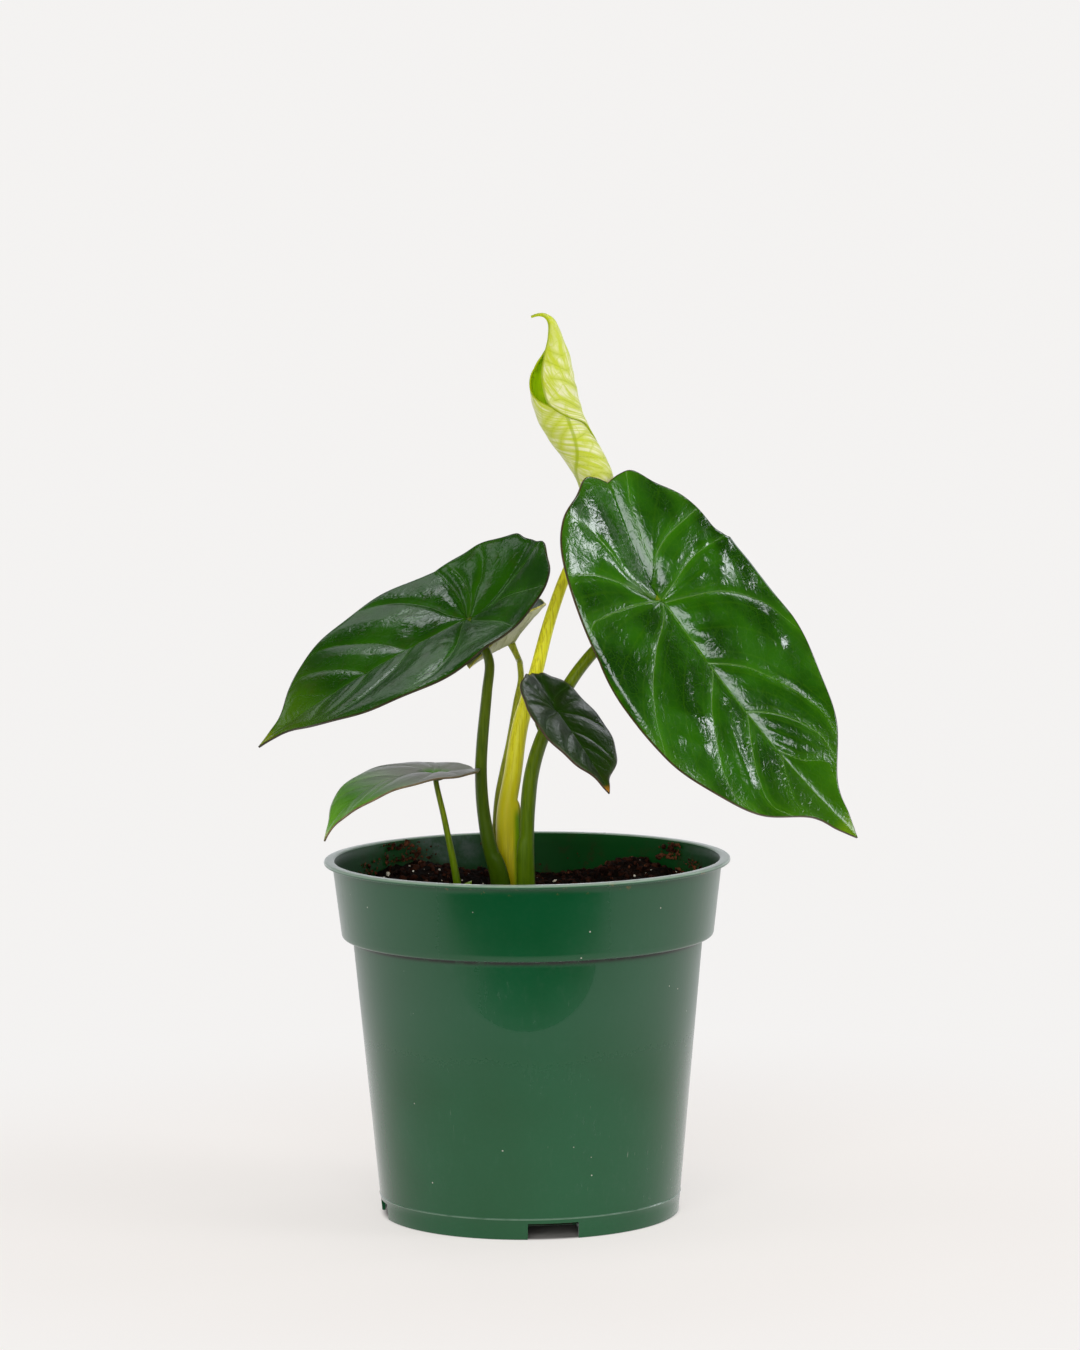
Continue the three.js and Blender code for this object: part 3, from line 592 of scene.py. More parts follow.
def pot_finish():
    paint = Paint("pot_plastic")
    place = paint.place()
    x, y, z = paint.parts(place)
    radius = (x * x + y * y).math("SQRT")
    wide = paint.cloud(place, 22, 3)
    fine = paint.cloud(paint.scaled(place, (1, 1, 0.35)), 420, 4, 0.65)
    colour = paint.mix(POT_LOOK["deep"], POT_LOOK["plain"], wide.fade(0.3, 0.7))
    dust_and_sheen = fine.fade(0.5, 0.8) * wide.fade(0.35, 0.75) * 0.35
    dust_and_sheen = dust_and_sheen + (paint.cloud(place, 640, 2) - 0.45) * 0.16
    grit = paint.cloud(place, 260, 4, 0.7)
    step = z.fade(*POT_ZONES["step_dust"]) * (1 - z.fade(*POT_ZONES["step_end"]))
    # Painted reflection: a round patch below the step and a stretch of band above it get no veil,
    # so they stay darker, as the dark room mirrored there
    shift, drop = x - DARK_REFLECTION["x"], z - DARK_REFLECTION["z"]
    apart = (shift * shift + drop * drop).math("SQRT")
    dark_reflection_disc = apart.fade(DARK_REFLECTION["reach"] * 0.93, DARK_REFLECTION["reach"], 1, 0)
    dark_reflection_disc = dark_reflection_disc * x.fade(*POT_ZONES["dark_reflection_side"])
    on_band = z > (POT["step"] * MM)
    dark_reflection_band = abs(shift).fade(DARK_REFLECTION["band"] * 0.8, DARK_REFLECTION["band"] * 1.15, 1, 0) * on_band
    # The veil is real dust and painted sheen: it greys the lower body and the band outside the
    # painted dark reflection
    veil_of_dust_and_sheen = z.fade(*POT_ZONES["veil_of_dust_and_sheen"]) * (1 - dark_reflection_disc.most(dark_reflection_band)) * (0.5 - 0.2 * on_band)
    dust_and_sheen = dust_and_sheen + step * grit.fade(0.45, 0.75) * 0.3 + veil_of_dust_and_sheen
    colour = paint.mix(colour, POT_LOOK["dust_and_sheen_tone"], dust_and_sheen.least(1.0).most(0.0))
    # Painted shadow: a dark line right under the step, where the band's overhang shades the body
    painted_step_shadow = z.fade(*POT_ZONES["painted_step_shadow"]) * (1 - on_band) * grit.fade(0.3, 0.5, 0.5, 1)
    colour = paint.mix(colour, POT_LOOK["line"], painted_step_shadow)
    stain = paint.cloud(place, 330, 3).fade(0.62, 0.70) * z.fade(*POT_ZONES["stain"])
    colour = paint.mix(colour, POT_LOOK["stain"], stain * 0.8)
    nick_gap = paint.node("ShaderNodeVectorMath", {"operation": "DISTANCE"}, {0: place, 1: NICK},
                          "Value")
    colour = paint.mix(colour, POT_LOOK["line"], nick_gap.fade(*POT_ZONES["nick"], 1, 0))
    seam_gap = abs(z - SEAM["height"] * MM)
    seam = seam_gap.fade(*POT_ZONES["seam"], 1, 0) * paint.cloud(place, 90, 2).fade(0.2, 0.5)
    # Painted highlight: the lip is paler where its rounded edge catches light
    lip = z.fade(*POT_ZONES["lip"]) * radius.fade(*POT_ZONES["lip_radius"])
    colour = paint.mix(colour, POT_LOOK["worn"], seam * 0.6)
    colour = paint.mix(colour, POT_LOOK["lip"], lip * 0.8)
    scratch = paint.cloud(paint.scaled(place, (1, 1, 0.13)), 1100, 2).fade(0.735, 0.80)
    scratch = scratch * wide.fade(0.5, 0.62)
    speck = specks(paint, place, 300, (0.06, 0.11), (0.965, 0.975))
    colour = paint.mix(colour, POT_LOOK["speck"], (speck * 0.8 + scratch * 0.2).least(1.0))
    rough = 0.17 + 0.08 * wide + 0.3 * dust_and_sheen + 0.25 * speck
    relief = paint.bump(fine * 0.15 + wide * 1.0, 0.0004, 0.25)
    relief = paint.bump(speck + scratch * -0.4, 0.0002, 0.5, relief)
    return paint.surface(
        Base_Color=colour, Roughness=rough, Normal=relief, Specular_IOR_Level=0.5,
        Sheen_Weight=0.25, Sheen_Roughness=0.35, Sheen_Tint=(0.93, 0.92, 1.0),
    )


def pot_inside_finish():
    """The inner wall is splashed with soil, less so towards the lip. A grey patch high on its left
    back is painted sheen.
    """
    paint = Paint("pot_inside")
    place = paint.place()
    x, y, z = paint.parts(place)
    wide = paint.cloud(place, 22, 3)
    splash = paint.cloud(place, 150, 5, 0.7)
    soiled = splash.fade(0.52, 0.66) * z.fade(*INNER_ZONES["soiled"], 1, 0.15)
    colour = paint.mix(POT_LOOK["inner_deep"], POT_LOOK["inner_plain"], wide.fade(0.3, 0.7))
    # Painted sheen: a grey patch high on the left back of the inner wall
    sheen_patch = x.fade(*INNER_ZONES["sheen_patch_left"]) * (1 - x.fade(*INNER_ZONES["sheen_patch_right"]))
    sheen_patch = sheen_patch * y.fade(*INNER_ZONES["sheen_patch_depth"]) * z.fade(*INNER_ZONES["sheen_patch"])
    sheen_patch = sheen_patch * splash.fade(0.3, 0.6, 1, 0.3)
    colour = paint.mix(colour, POT_LOOK["sheen_patch"], sheen_patch * 0.8)
    colour = paint.mix(colour, POT_LOOK["soil"], soiled)
    return paint.surface(
        Base_Color=colour, Roughness=0.42 + 0.1 * wide + 0.3 * soiled,
        Normal=paint.bump(splash, 0.0004, 0.3), Specular_IOR_Level=0.25,
    )


# %% Mark the inner wall and lay the pot down
def mark_inside(shape):
    """Gives the second finish to every face that soil can touch."""
    for face in shape.faces:
        middle = face.calc_center_median()
        radius = math.hypot(middle.x, middle.y)
        above_floor = middle.z > POT["wall"] / 2 and radius < POT["hub"]
        above_floor |= middle.z > POT["floor"] + POT["wall"] / 2
        if above_floor and middle.z < POT["height"] and radius < pot_inside(middle.z) + 0.4:
            face.material_index = 1
    return shape


make_piece(
    "nursery_pot", mark_inside(cut_notches(pot_shape())), [pot_finish(), pot_inside_finish()],
    "pot", 35,
)

# %% [markdown]
# ## Potting mix
# Damp peat and bark, nearly black, with white grains of perlite. The body is a spun shape like
# the inside of the pot, its top is roughened with noise, and loose crumbs lie on it. Crumbs are
# small spheres with few faces, since there are hundreds, and each is knocked out of round.

# %% Soil sizes, as in the part
SOIL = {"level": 120.6, "ripple": 0.8, "heaps": ((-48, 40, 6, 24), (47, 42, 6.5, 22))}
# Loose mix on top of the plain heaps
MOUNDS = ((-38, 50, 3.2, 19), (-14, 52, 1.5, 14), (36, 52, 3.0, 17))
STEMS = {"main": (-5.2, 1.6, 13.5, 92, 122), "side": (-25.2, -13.6, 6.5, 106, 122)}


def soil_height(x, y):
    height = SOIL["level"]
    for heap_x, heap_y, heap_height, spread in SOIL["heaps"]:
        apart = (x - heap_x) ** 2 + (y - heap_y) ** 2
        height += heap_height * math.exp(-apart / spread ** 2)
    waves = math.sin(x * 0.31 + 1) * math.cos(y * 0.27) + math.sin(x * 0.13 - y * 0.19)
    return height + SOIL["ripple"] * waves


def rough_soil_height(x, y):
    spot = Vector((x, y, 0))
    lumps = noise.fractal(spot * 0.22, 0.6, 2.2, 4)
    height = soil_height(x, y) + 1.2 * lumps + 0.8 * noise.noise(spot * 0.7)
    for mound_x, mound_y, stand, spread in MOUNDS:
        height += stand * math.exp(-((x - mound_x) ** 2 + (y - mound_y) ** 2) / spread ** 2)
    return height


# %% Soil shape
def soil_shape():
    """The mix, just clear of the wall. Only its top has fine faces, which are roughened."""
    clear = 0.15
    top = pot_inside(SOIL["level"]) - clear
    profile = [(0, POT["wall"] + clear), (POT["hub"], POT["wall"] + clear)]
    profile += [(POT["hub"] + POT["slope"], POT["floor"] + POT["wall"] + clear)]
    for height in np.linspace(POT["floor"] + POT["wall"] + clear, POT["step"], 12):
        profile.append((pot_inside(height) - clear - 0.2, height))
    ledge = POT["step"] + POT["wall"] + clear
    profile += [(POT["body_top"] - POT["wall"] - clear, ledge)]
    profile += [(pot_inside(ledge) - clear, ledge), (top, SOIL["level"] - 3)]
    flat = 86
    profile += [(top * (flat - i) / flat, SOIL["level"]) for i in range(flat + 1)]
    shape = turned(profile, 264)
    for vertex in shape.verts:
        if abs(vertex.co.z - SOIL["level"]) < 0.01:
            vertex.co.z = rough_soil_height(vertex.co.x, vertex.co.y)
    return shape


# %% Crumbs
def scatter(seed, count, sizes, place, squash=(0.6, 1.0), rings=1):
    """Small knocked grains. place(chance) gives a spot or None."""
    chance = random.Random(seed)
    shape = bmesh.new()
    for _ in range(count):
        spot = place(chance)
        if spot is None:
            continue
        size = sizes[0] + (sizes[1] - sizes[0]) * chance.random() ** 2
        stretch = [size * chance.uniform(*squash) for _ in range(3)]
        turn = Matrix.Rotation(chance.uniform(0, 6.28), 4, (chance.random(), chance.random(), 1))
        grain = bmesh.ops.create_icosphere(
            shape, subdivisions=rings, radius=1,
            matrix=Matrix.Translation(spot) @ turn @ Matrix.Diagonal((*stretch, 1)),
        )
        for vertex in grain["verts"]:
            vertex.co += Vector([chance.uniform(-0.18, 0.18) * size for _ in range(3)])
    return shape


def on_soil(reach, sink=0.0):
    """Spots on the mix within that reach, but not inside a stem."""
    def place(chance):
        turn = chance.uniform(0, 2 * math.pi)
        out = reach * math.sqrt(chance.random())
        x, y = out * math.cos(turn), out * math.sin(turn)
        for stem_x, stem_y, radius, _, _ in STEMS.values():
            if math.hypot(x - stem_x, y - stem_y) < radius + 0.5:
                return None
        return Vector((x, y, rough_soil_height(x, y) - sink))
    return place


def on_wall(middle, spread, low, high):
    """Spots on the inner wall, round a middle bearing in degrees."""
    def place(chance):
        turn = math.radians(chance.gauss(middle, spread))
        height = lerp(low, high, chance.random() ** 1.6)
        out = pot_inside(height) - 0.5
        return Vector((out * math.cos(turn), out * math.sin(turn), height))
    return place


# %% Soil finishes
def soil_finish():
    paint = Paint("potting_mix")
    place = paint.place()
    lumps = paint.cloud(place, 320, 5, 0.7)
    fibres = paint.cloud(paint.scaled(place, (1, 0.3, 1)), 900, 3, 0.6)
    colour = paint.mix((0.003, 0.0015, 0.001), (0.025, 0.010, 0.005), lumps.fade(0.45, 0.8))
    colour = paint.mix(colour, (0.07, 0.025, 0.01), fibres.fade(0.68, 0.82))
    grit = specks(paint, place, 520, (0.10, 0.2), (0.95, 0.97))
    colour = paint.mix(colour, (0.45, 0.4, 0.33), grit)
    relief = paint.bump(lumps * 2 + fibres, 0.0008, 0.9)
    return paint.surface(
        Base_Color=colour, Roughness=0.75 + 0.2 * lumps, Normal=relief, Specular_IOR_Level=0.12
    )


def grain_finish(name, dark, light, roughness):
    paint = Paint(name)
    place = paint.place()
    tone = paint.cloud(place, 260, 3)
    pits = paint.cloud(place, 1800, 3)
    colour = paint.mix(dark, light, tone.fade(0.35, 0.65))
    colour = paint.mix(colour, dark, pits.fade(0.6, 0.75) * 0.6)
    return paint.surface(
        Base_Color=colour, Roughness=roughness + 0.1 * tone,
        Normal=paint.bump(pits, 0.0003, 0.7), Specular_IOR_Level=0.12,
    )


# %% Lay the soil
make_piece("potting_mix", soil_shape(), [soil_finish()], "soil")
CRUMB = grain_finish("crumb", (0.003, 0.0012, 0.001), (0.035, 0.011, 0.006), 0.8)
BARK = grain_finish("bark", (0.02, 0.007, 0.004), (0.13, 0.045, 0.02), 0.7)
PERLITE = grain_finish("perlite", (0.42, 0.36, 0.28), (0.8, 0.76, 0.66), 0.8)
make_piece("crumbs", scatter(3, 2200, (0.5, 2.3), on_soil(70, sink=0.1)), [CRUMB])
make_piece("bark_bits", scatter(5, 170, (0.7, 2.3), on_soil(70), (0.25, 1.0)), [BARK])
make_piece("perlite_grains", scatter(8, 150, (0.35, 1.2), on_soil(69, sink=-0.3), rings=2),
           [PERLITE])
WALL_BITS = {
    # name: seed, count, sizes, bearing, spread, lowest, highest
    "left": (11, 130, (0.3, 1.5), 132, 5, 129, 136.5),
    "left_low": (15, 60, (0.3, 1.4), 149, 4, 123, 131),
    "right": (12, 60, (0.4, 1.7), 38, 2.5, 130, 136.5),
    "right_low": (16, 70, (0.3, 1.4), 27, 4, 123, 131),
    "fine": (14, 60, (0.2, 0.7), 90, 45, 122, 134),
}
for name, (seed, count, sizes, bearing, spread, low, high) in WALL_BITS.items():
    bits = scatter(seed, count, sizes, on_wall(bearing, spread, low, high), (0.3, 1.0))
    make_piece("wall_bits_" + name, bits, [BARK])

# %% [markdown]
# ## Stems and stalks
# Leaf stalks are juicy and nearly round, thicker at the foot, where each one wraps the next in a
# sheath. A turned rod gives the topology: every ring of it is then carried to its place on the
# stalk's curve, in a frame that travels without twisting.

# %% Rod carried along a curve
def travelling_frames(path):
    """Tangent and two side directions at each point, with no twist."""
    tangents = np.gradient(path, axis=0)
    tangents /= np.linalg.norm(tangents, axis=1)[:, None]
    side = np.cross(tangents[0], (0, 1, 0))
    side /= np.linalg.norm(side)
    frames = []
    for tangent in tangents:
        side = side - tangent * side.dot(tangent)
        side /= np.linalg.norm(side)
        frames.append((side, np.cross(tangent, side)))
    return frames


def rod_shape(path, width_at, sides=28):
    """A closed rod along path. width_at(share, turn) is its radius."""
    steps = len(path) - 1
    profile = [(0, 0)] + [(1, step) for step in range(steps + 1)] + [(0, steps)]
    shape = turned(profile, sides)
    frames = travelling_frames(path)
    grain = shape.verts.layers.float_vector.new("grain")
    run = np.concatenate([[0], np.cumsum(np.linalg.norm(np.diff(path, axis=0), axis=1))])
    for vertex in shape.verts:
        step = round(vertex.co.z)
        turn = math.atan2(vertex.co.y, vertex.co.x)
        out = math.hypot(vertex.co.x, vertex.co.y)
        side, other = frames[step]
        radius = out * width_at(step / steps, turn)
        vertex[grain] = (run[step], turn, step / steps)
        vertex.co = path[step] + radius * (side * math.cos(turn) + other * math.sin(turn))
    bmesh.ops.recalc_face_normals(shape, faces=shape.faces)
    return shape


# %% Stalk finishes
def stalk_finish(name, low, high, streak, spot=0.3, rise=0.85, lobe=None, glow=0.0):
    """Fleshy stalk: foot and top colours, and the colour of its streaks. A lobe is a greener
    flank: its colour, the x where it starts and the height where it ends. glow is painted light:
    the stalk gives off its own colour by that much."""
    paint = Paint(name)
    place = paint.place()
    _, _, share = paint.parts(paint.attribute("grain"))
    streaks = paint.cloud(paint.scaled(place, (1, 1, 0.05)), 1500, 3, 0.6)
    broad = paint.cloud(paint.scaled(place, (1, 1, 0.12)), 260, 2)
    colour = paint.mix(low, high, share.fade(0.0, rise))
    colour = paint.mix(colour, streak, streaks.fade(0.42, 0.66) * 0.55 + broad.fade(0.5, 0.8) * 0.3)
    if lobe:
        green, start, end = lobe
        x, _, z = paint.parts(place)
        flank = x.fade(start, start + 0.0022) * z.fade(end - 0.006, end, 1, 0)
        colour = paint.mix(colour, green, flank)
    blot = paint.cloud(place, 420, 3, 0.7).fade(0.68, 0.78)
    colour = paint.mix(colour, (0.03, 0.025, 0.01), blot * spot)
    earthy = paint.parts(place)[2].fade(0.121, 0.128, 1, 0)
    colour = paint.mix(colour, (0.06, 0.03, 0.012), earthy * 0.75)
    relief = paint.bump(streaks, 0.0002, 0.5)
    return paint.surface(
        Base_Color=colour, Roughness=0.3 + 0.15 * broad, Normal=relief, Specular_IOR_Level=0.5,
        Subsurface_Weight=0.12, Subsurface_Radius=(0.003, 0.003, 0.001), Subsurface_Scale=1.0,
        # glow is painted light: the stalk gives off its own colour, and so looks lit where leaves
        # shade it
        Emission_Color=colour, Emission_Strength=glow,
    )


OLIVE = stalk_finish(
    "olive_stalk", (0.08, 0.155, 0.001), (0.17, 0.23, 0.002), (0.04, 0.09, 0.001)
)
DEEP_OLIVE = stalk_finish(
    "deep_olive_stalk", (0.034, 0.075, 0.001), (0.10, 0.15, 0.002), (0.03, 0.07, 0.001)
)
# The golden stalk glows a little: painted light, against the shade the leaves cast on it
GOLD = stalk_finish(
    "gold_stalk", (0.20, 0.18, 0.0005), (1.0, 0.97, 0.04), (0.42, 0.36, 0.001),
    spot=0.1, rise=0.70, lobe=((0.10, 0.20, 0.001), -0.0058, 0.158), glow=0.11,
)
LIME = stalk_finish(
    "lime_stalk", (0.20, 0.34, 0.006), (0.24, 0.38, 0.01), (0.12, 0.22, 0.005), spot=0.1
)
PALE = stalk_finish(
    "pale_stalk", (0.14, 0.18, 0.01), (0.38, 0.42, 0.03), (0.14, 0.16, 0.01)
)

# %% [markdown]
# ## Leaves
# A leaf starts as a flat disc, turned like everything else. Its rings are stretched out to the
# spade outline, and then each point is bent: the midline droops or rises, the halves fold up from
# it, the margins curl down and wave, and the flesh puffs up between the veins, which is what
# quilting is. The same formulas and sizes made the plain solids, so the fine leaf lies in the
# space of the plain one.

# %% Leaf sizes, as in the part
FRONT_WIDTHS = ((0.93, 0.09), (0.84, 0.22), (0.7, 0.64), (0.52, 0.92), (0.32, 1.08), (0.1, 1.09))
BACK_RADII = ((112, 0.99), (132, 0.98), (150, 0.93), (163, 0.95), (172, 0.91))
LEFT_VEINS = (
    ((0, 0), (0.05, -0.19), (0.094, -0.46), (0.17, -0.745), (0.25, -0.92), (0.31, -1.0)),
    ((0.28, -0.02), (0.353, -0.32), (0.43, -0.51), (0.517, -0.68), (0.6, -0.745), (0.67, -0.68)),
    ((0.46, 0), (0.53, -0.22), (0.61, -0.4), (0.7, -0.5), (0.78, -0.4)),
    ((0.63, 0), (0.69, -0.15), (0.76, -0.28), (0.84, -0.22)),
    ((0, 0), (-0.086, -0.4), (-0.126, -0.86), (-0.1, -1.0)),
    ((0, 0), (-0.16, -0.23), (-0.3, -0.55), (-0.35, -0.85)),
    ((0, 0), (-0.246, -0.25), (-0.4, -0.32), (-0.57, -0.47), (-0.66, -0.62)),
)
RIGHT_VEINS = (
    ((0.01, 0), (0.045, 0.21), (0.1, 0.54), (0.168, 0.765), (0.25, 0.93), (0.32, 0.98)),
    ((0.25, 0), (0.34, 0.27), (0.426, 0.42), (0.526, 0.536), (0.64, 0.6), (0.71, 0.56)),
    ((0.45, 0), (0.52, 0.2), (0.6, 0.34), (0.69, 0.42), (0.78, 0.38)),
    ((0.62, 0.02), (0.69, 0.12), (0.76, 0.3), (0.82, 0.25)),
    ((0, 0), (-0.05, 0.2), (-0.15, 0.57), (-0.17, 0.95)),
    ((-0.2, 0.07), (-0.3, 0.17), (-0.4, 0.36), (-0.49, 0.65)),
    ((0, 0), (-0.22, 0.085), (-0.44, 0.09), (-0.7, 0.136), (-0.8, 0.17)),
)
# From the tip back to the notch
VEIN_ORDER = (3, 2, 1, 0, 4, 5, 6)
BEND = {"droop_power": 1.3, "sickle_power": 1.5, "rise_reach": 0.35, "kink_reach": 0.4}
QUILT = {"height": 0.022, "width": 0.13}
WAVES = 11
EVEN_PUFF = ((1, 1, 1), (1, 1, 1), (1.6, 1, 1), (1.6, 1, 1), (1.4, 1, 1), (1, 1, 1), (1.2, 1, 1))
EVEN_PUFFS = {"left": EVEN_PUFF, "right": EVEN_PUFF}
RELIEF = {
    "rib_free": 0.16, "groove": 0.006, "groove_width": 0.022, "ripple": 0.005,
    "ripple_reach": 0.5, "dimple": 0.004, "dimple_clear": 0.06, "navel_width": 0.22,
}

# What the three small leaves have in common
SMALL_LEAF = dict(
    thick=0.7, wave=0.2, slopes=(0.15, 0.15), roll_under=((0, 1), (0.3, 0.3)), ridges=(),
    leans=(), shoulders=((-1, 0, 1), (0.12, 0.12, 0.06), (0.12, 0.12, 0.06)),
    puffs=EVEN_PUFFS, navel=0,
)
# Lengths are in millimetres and angles in degrees. Ridges and leans are given by two points, as
# shares of the leaf, then ridges by height and width, and leans by width and the two slopes.
LEAVES = {
    "right": dict(
        joint=(52.25, -6, 236.25), heading=2.3, dip=55.4, roll=33.2, droop=-7.5, rise=5,
        fold_left=5.3, fold_right=14.2, curl=0.23, twist=4.4, kink=19.7, sickle=7.2,
        front=119, half=52.8, back=57.8, thick=0.8, wave=0.4, rings=84, spokes=300, notch=0.86,
        slopes=(0.13, 0.24), navel=0,
        roll_under=((-0.2, 0.05, 0.15, 0.25, 0.34, 0.6), (0.2, 0.9, 1.1, 0.8, 0.1, 0.05)),
        shoulders=((-1, -0.2, 0.0, 0.2, 0.45, 1.0), (0.16, 0.18, 0.13, 0.12, 0.1, 0.05),
                   (0.16, 0.15, 0.13, 0.12, 0.06, 0.05)),
        ridges=(((0.40, -0.26), (0.60, -0.52), 0.012, 0.05),
                ((0.30, -0.66), (0.36, -0.50), 0.010, 0.06),
                ((0.36, -0.80), (0.42, -0.70), 0.010, 0.05),
                ((-0.16, 0.66), (0.04, 0.68), 0.012, 0.07),
                ((0.28, 0.80), (0.36, 0.74), 0.012, 0.07),
                ((-0.21, 1.00), (-0.08, 1.03), 0.032, 0.12)),
        leans=(((-0.74, -0.17), (-0.18, -0.21), 0.085, 0.0, -0.18),
               ((-0.48, -0.72), (-0.26, -0.46), 0.11, -0.08, 0.0),
               ((-0.28, -0.50), (-0.10, -0.26), 0.09, -0.06, 0.20),
               ((-0.76, -0.52), (-0.56, -0.50), 0.09, 0.0, -0.20),
               ((-0.02, -0.40), (0.02, -0.60), 0.10, 0.08, 0.0),
               ((0.04, -0.14), (0.24, -0.61), 0.14, 0.09, 0.0),
               ((0.20, -0.15), (0.33, -0.35), 0.10, 0.09, 0.0),
               ((-0.43, 0.82), (-0.07, 0.77), 0.14, 0.0, 0.13),
               ((0.02, 0.84), (0.10, 0.74), 0.05, -0.13, 0.0),
               ((0.70, 0.06), (0.95, 0.06), 0.09, 0.0, -0.13)),
        puffs={
            "left": ((0.2, 1, 1), (0.1, 1, 1), (0.2, 0.8, 1), (0.1, 0.8, 1), (0.2, 1, 1),
                     (1.6, 3, 3), (0.9, 1.1, 2)),
            "right": ((0.9, 1, 1), (0.3, 1, 1), (1.1, 1, 1.5), (1.3, 1, 1.5), (0.4, 1.0, 1.5),
                      (0.3, 1, 1), (0.2, 1, 1)),
        },
    ),
    "left": dict(
        joint=(-22.3, -6, 229.7), heading=189.3, dip=25.4, roll=-10.2, droop=11.8, rise=29.1,
        fold_left=19, fold_right=6, curl=0.2, twist=-0.9, kink=-13.6, sickle=-2.4,
        front=93, half=41.4, back=44.4, thick=0.8, wave=0.35, rings=70, spokes=240, notch=0.91,
        slopes=(0.15, 0.15), roll_under=((0, 1), (0.5, 0.5)), navel=0,
        ridges=(((-0.02, 1.10), (-0.32, 1.0), 0.048, 0.22),
                ((-0.62, -0.82), (-0.86, -0.42), -0.035, 0.20)),
        leans=(),
        shoulders=((-1, 0, 1), (0.05, 0.12, 0.06), (0.05, 0.12, 0.06)), puffs=EVEN_PUFFS,
    ),
    "front": dict(
        SMALL_LEAF, joint=(11.7, -24, 196.1), heading=-43.8, dip=43.2, roll=-6.1, droop=8.1,
        rise=5.9,
        fold_left=13.2, fold_right=14.7, curl=0.25, twist=0, kink=-1.5, sickle=0.5,
        front=40, half=17.9, back=19.6, rings=48, spokes=160, notch=0.95,
    ),
    "low": dict(
        SMALL_LEAF, joint=(-34.4, -12, 171.8), heading=199.5, dip=-1.3, roll=-0.7, droop=67.7,
        rise=3.4,
        fold_left=10.5, fold_right=10.5, curl=0.25, twist=-2.4, kink=0, sickle=1,
        front=54.3, half=21.3, back=17.4, rings=48, spokes=160, notch=0.9, navel=2.6,
    ),
    "back": dict(
        SMALL_LEAF, joint=(-5.5, 29, 217.2), heading=245, dip=6, roll=24, droop=6, rise=36,
        fold_left=32, fold_right=30, curl=0.25, twist=0, kink=0, sickle=0,
        front=40, half=21.5, back=22, rings=44, spokes=140, notch=0.85,
    ),
}


# %% Where a flat leaf point lands
def unit_axes(leaf):
    """Directions along to the tip, across to the right, and up, at the joint."""
    heading, dip, roll = (math.radians(leaf[key]) for key in ("heading", "dip", "roll"))
    along = np.array([
        math.cos(heading) * math.cos(dip), math.sin(heading) * math.cos(dip), -math.sin(dip)
    ])
    level = np.array([-math.sin(heading), math.cos(heading), 0])
    across = level * math.cos(roll) + np.cross(along, level) * math.sin(roll)
    return along, across, np.cross(along, across)


def midline_turn(leaf, distance):
    """Slope and swing of the midline, ahead of the joint or behind it."""
    ahead = np.clip(distance, 0, None) / leaf["front"]
    behind = np.clip(-distance, 0, None) / leaf["back"]
    slope = np.where(
        distance > 0,
        -math.radians(leaf["droop"]) * ahead ** BEND["droop_power"],
        -math.radians(leaf["rise"]) * np.tanh(behind / BEND["rise_reach"]),
    )
    swing = np.where(
        distance > 0,
        math.radians(leaf["sickle"]) * ahead ** BEND["sickle_power"],
        -math.radians(leaf["kink"]) * np.tanh(behind / BEND["kink_reach"]),
    )
    return slope, swing


def midline(leaf, along):
    """Points of the bent midline at those distances from the joint."""
    step = 0.25
    marks = np.arange(-leaf["back"] * 1.1, leaf["front"] * 1.1, step)
    slope, swing = midline_turn(leaf, marks + step / 2)
    moves = step * np.column_stack([
        np.cos(slope) * np.cos(swing), np.cos(slope) * np.sin(swing), np.sin(slope)
    ])
    run = np.vstack([[0, 0, 0], np.cumsum(moves, axis=0)])
    marks = np.append(marks, marks[-1] + step)
    zero = np.array([np.interp(0, marks, column) for column in run.T])
    return np.column_stack([np.interp(along, marks, column) for column in run.T]) - zero


def bent(leaf, along, across, lift):
    """Flat leaf points carried to their place, in millimetres."""
    slope, swing = midline_turn(leaf, along)
    twist = math.radians(leaf["twist"]) * along / leaf["front"]
    side = np.column_stack([-np.sin(swing), np.cos(swing), np.zeros_like(swing)])
    up = np.column_stack([
        -np.sin(slope) * np.cos(swing), -np.sin(slope) * np.sin(swing), np.cos(slope)
    ])
    cos, sin = np.cos(twist)[:, None], np.sin(twist)[:, None]
    side, up = side * cos + up * sin, up * cos - side * sin
    fold = np.where(across > 0, math.radians(leaf["fold_right"]), math.radians(leaf["fold_left"]))
    share = np.abs(across) / leaf["half"]
    height = leaf["half"] * (np.sin(fold) * share - 0.5 * leaf["curl"] * share ** 2)
    flat = midline(leaf, along) + side * (across * np.cos(0.7 * fold))[:, None]
    flat += up * (height + lift)[:, None]
    return np.array(leaf["joint"]) + flat @ np.array(unit_axes(leaf))


# %% Outline and veins
def leaf_margin(leaf, count=1440):
    """Flat margin from the tip round the right side to the notch, and home."""
    points = [(leaf["front"], 0)]
    points += [(along * leaf["front"], across * leaf["half"]) for along, across in FRONT_WIDTHS]
    for angle, share in BACK_RADII:
        turn = math.radians(angle)
        points.append((math.cos(turn) * share * leaf["back"],
                       math.sin(turn) * share * leaf["half"]))
    points.append((-leaf["notch"] * leaf["back"], 0))
    half = smooth_curve(points, count // 2 + 1)
    other = half[1:-1][::-1] * (1, -1)
    return np.vstack([half, other])


def on_leaf(leaf, points):
    """Shares of the leaf's front or back length and half width, as flat millimetres."""
    return np.array([
        (a * (leaf["front"] if a > 0 else leaf["back"]), c * leaf["half"]) for a, c in points
    ])


def vein_chain(leaf, vein):
    return smooth_curve(on_leaf(leaf, vein), 28)


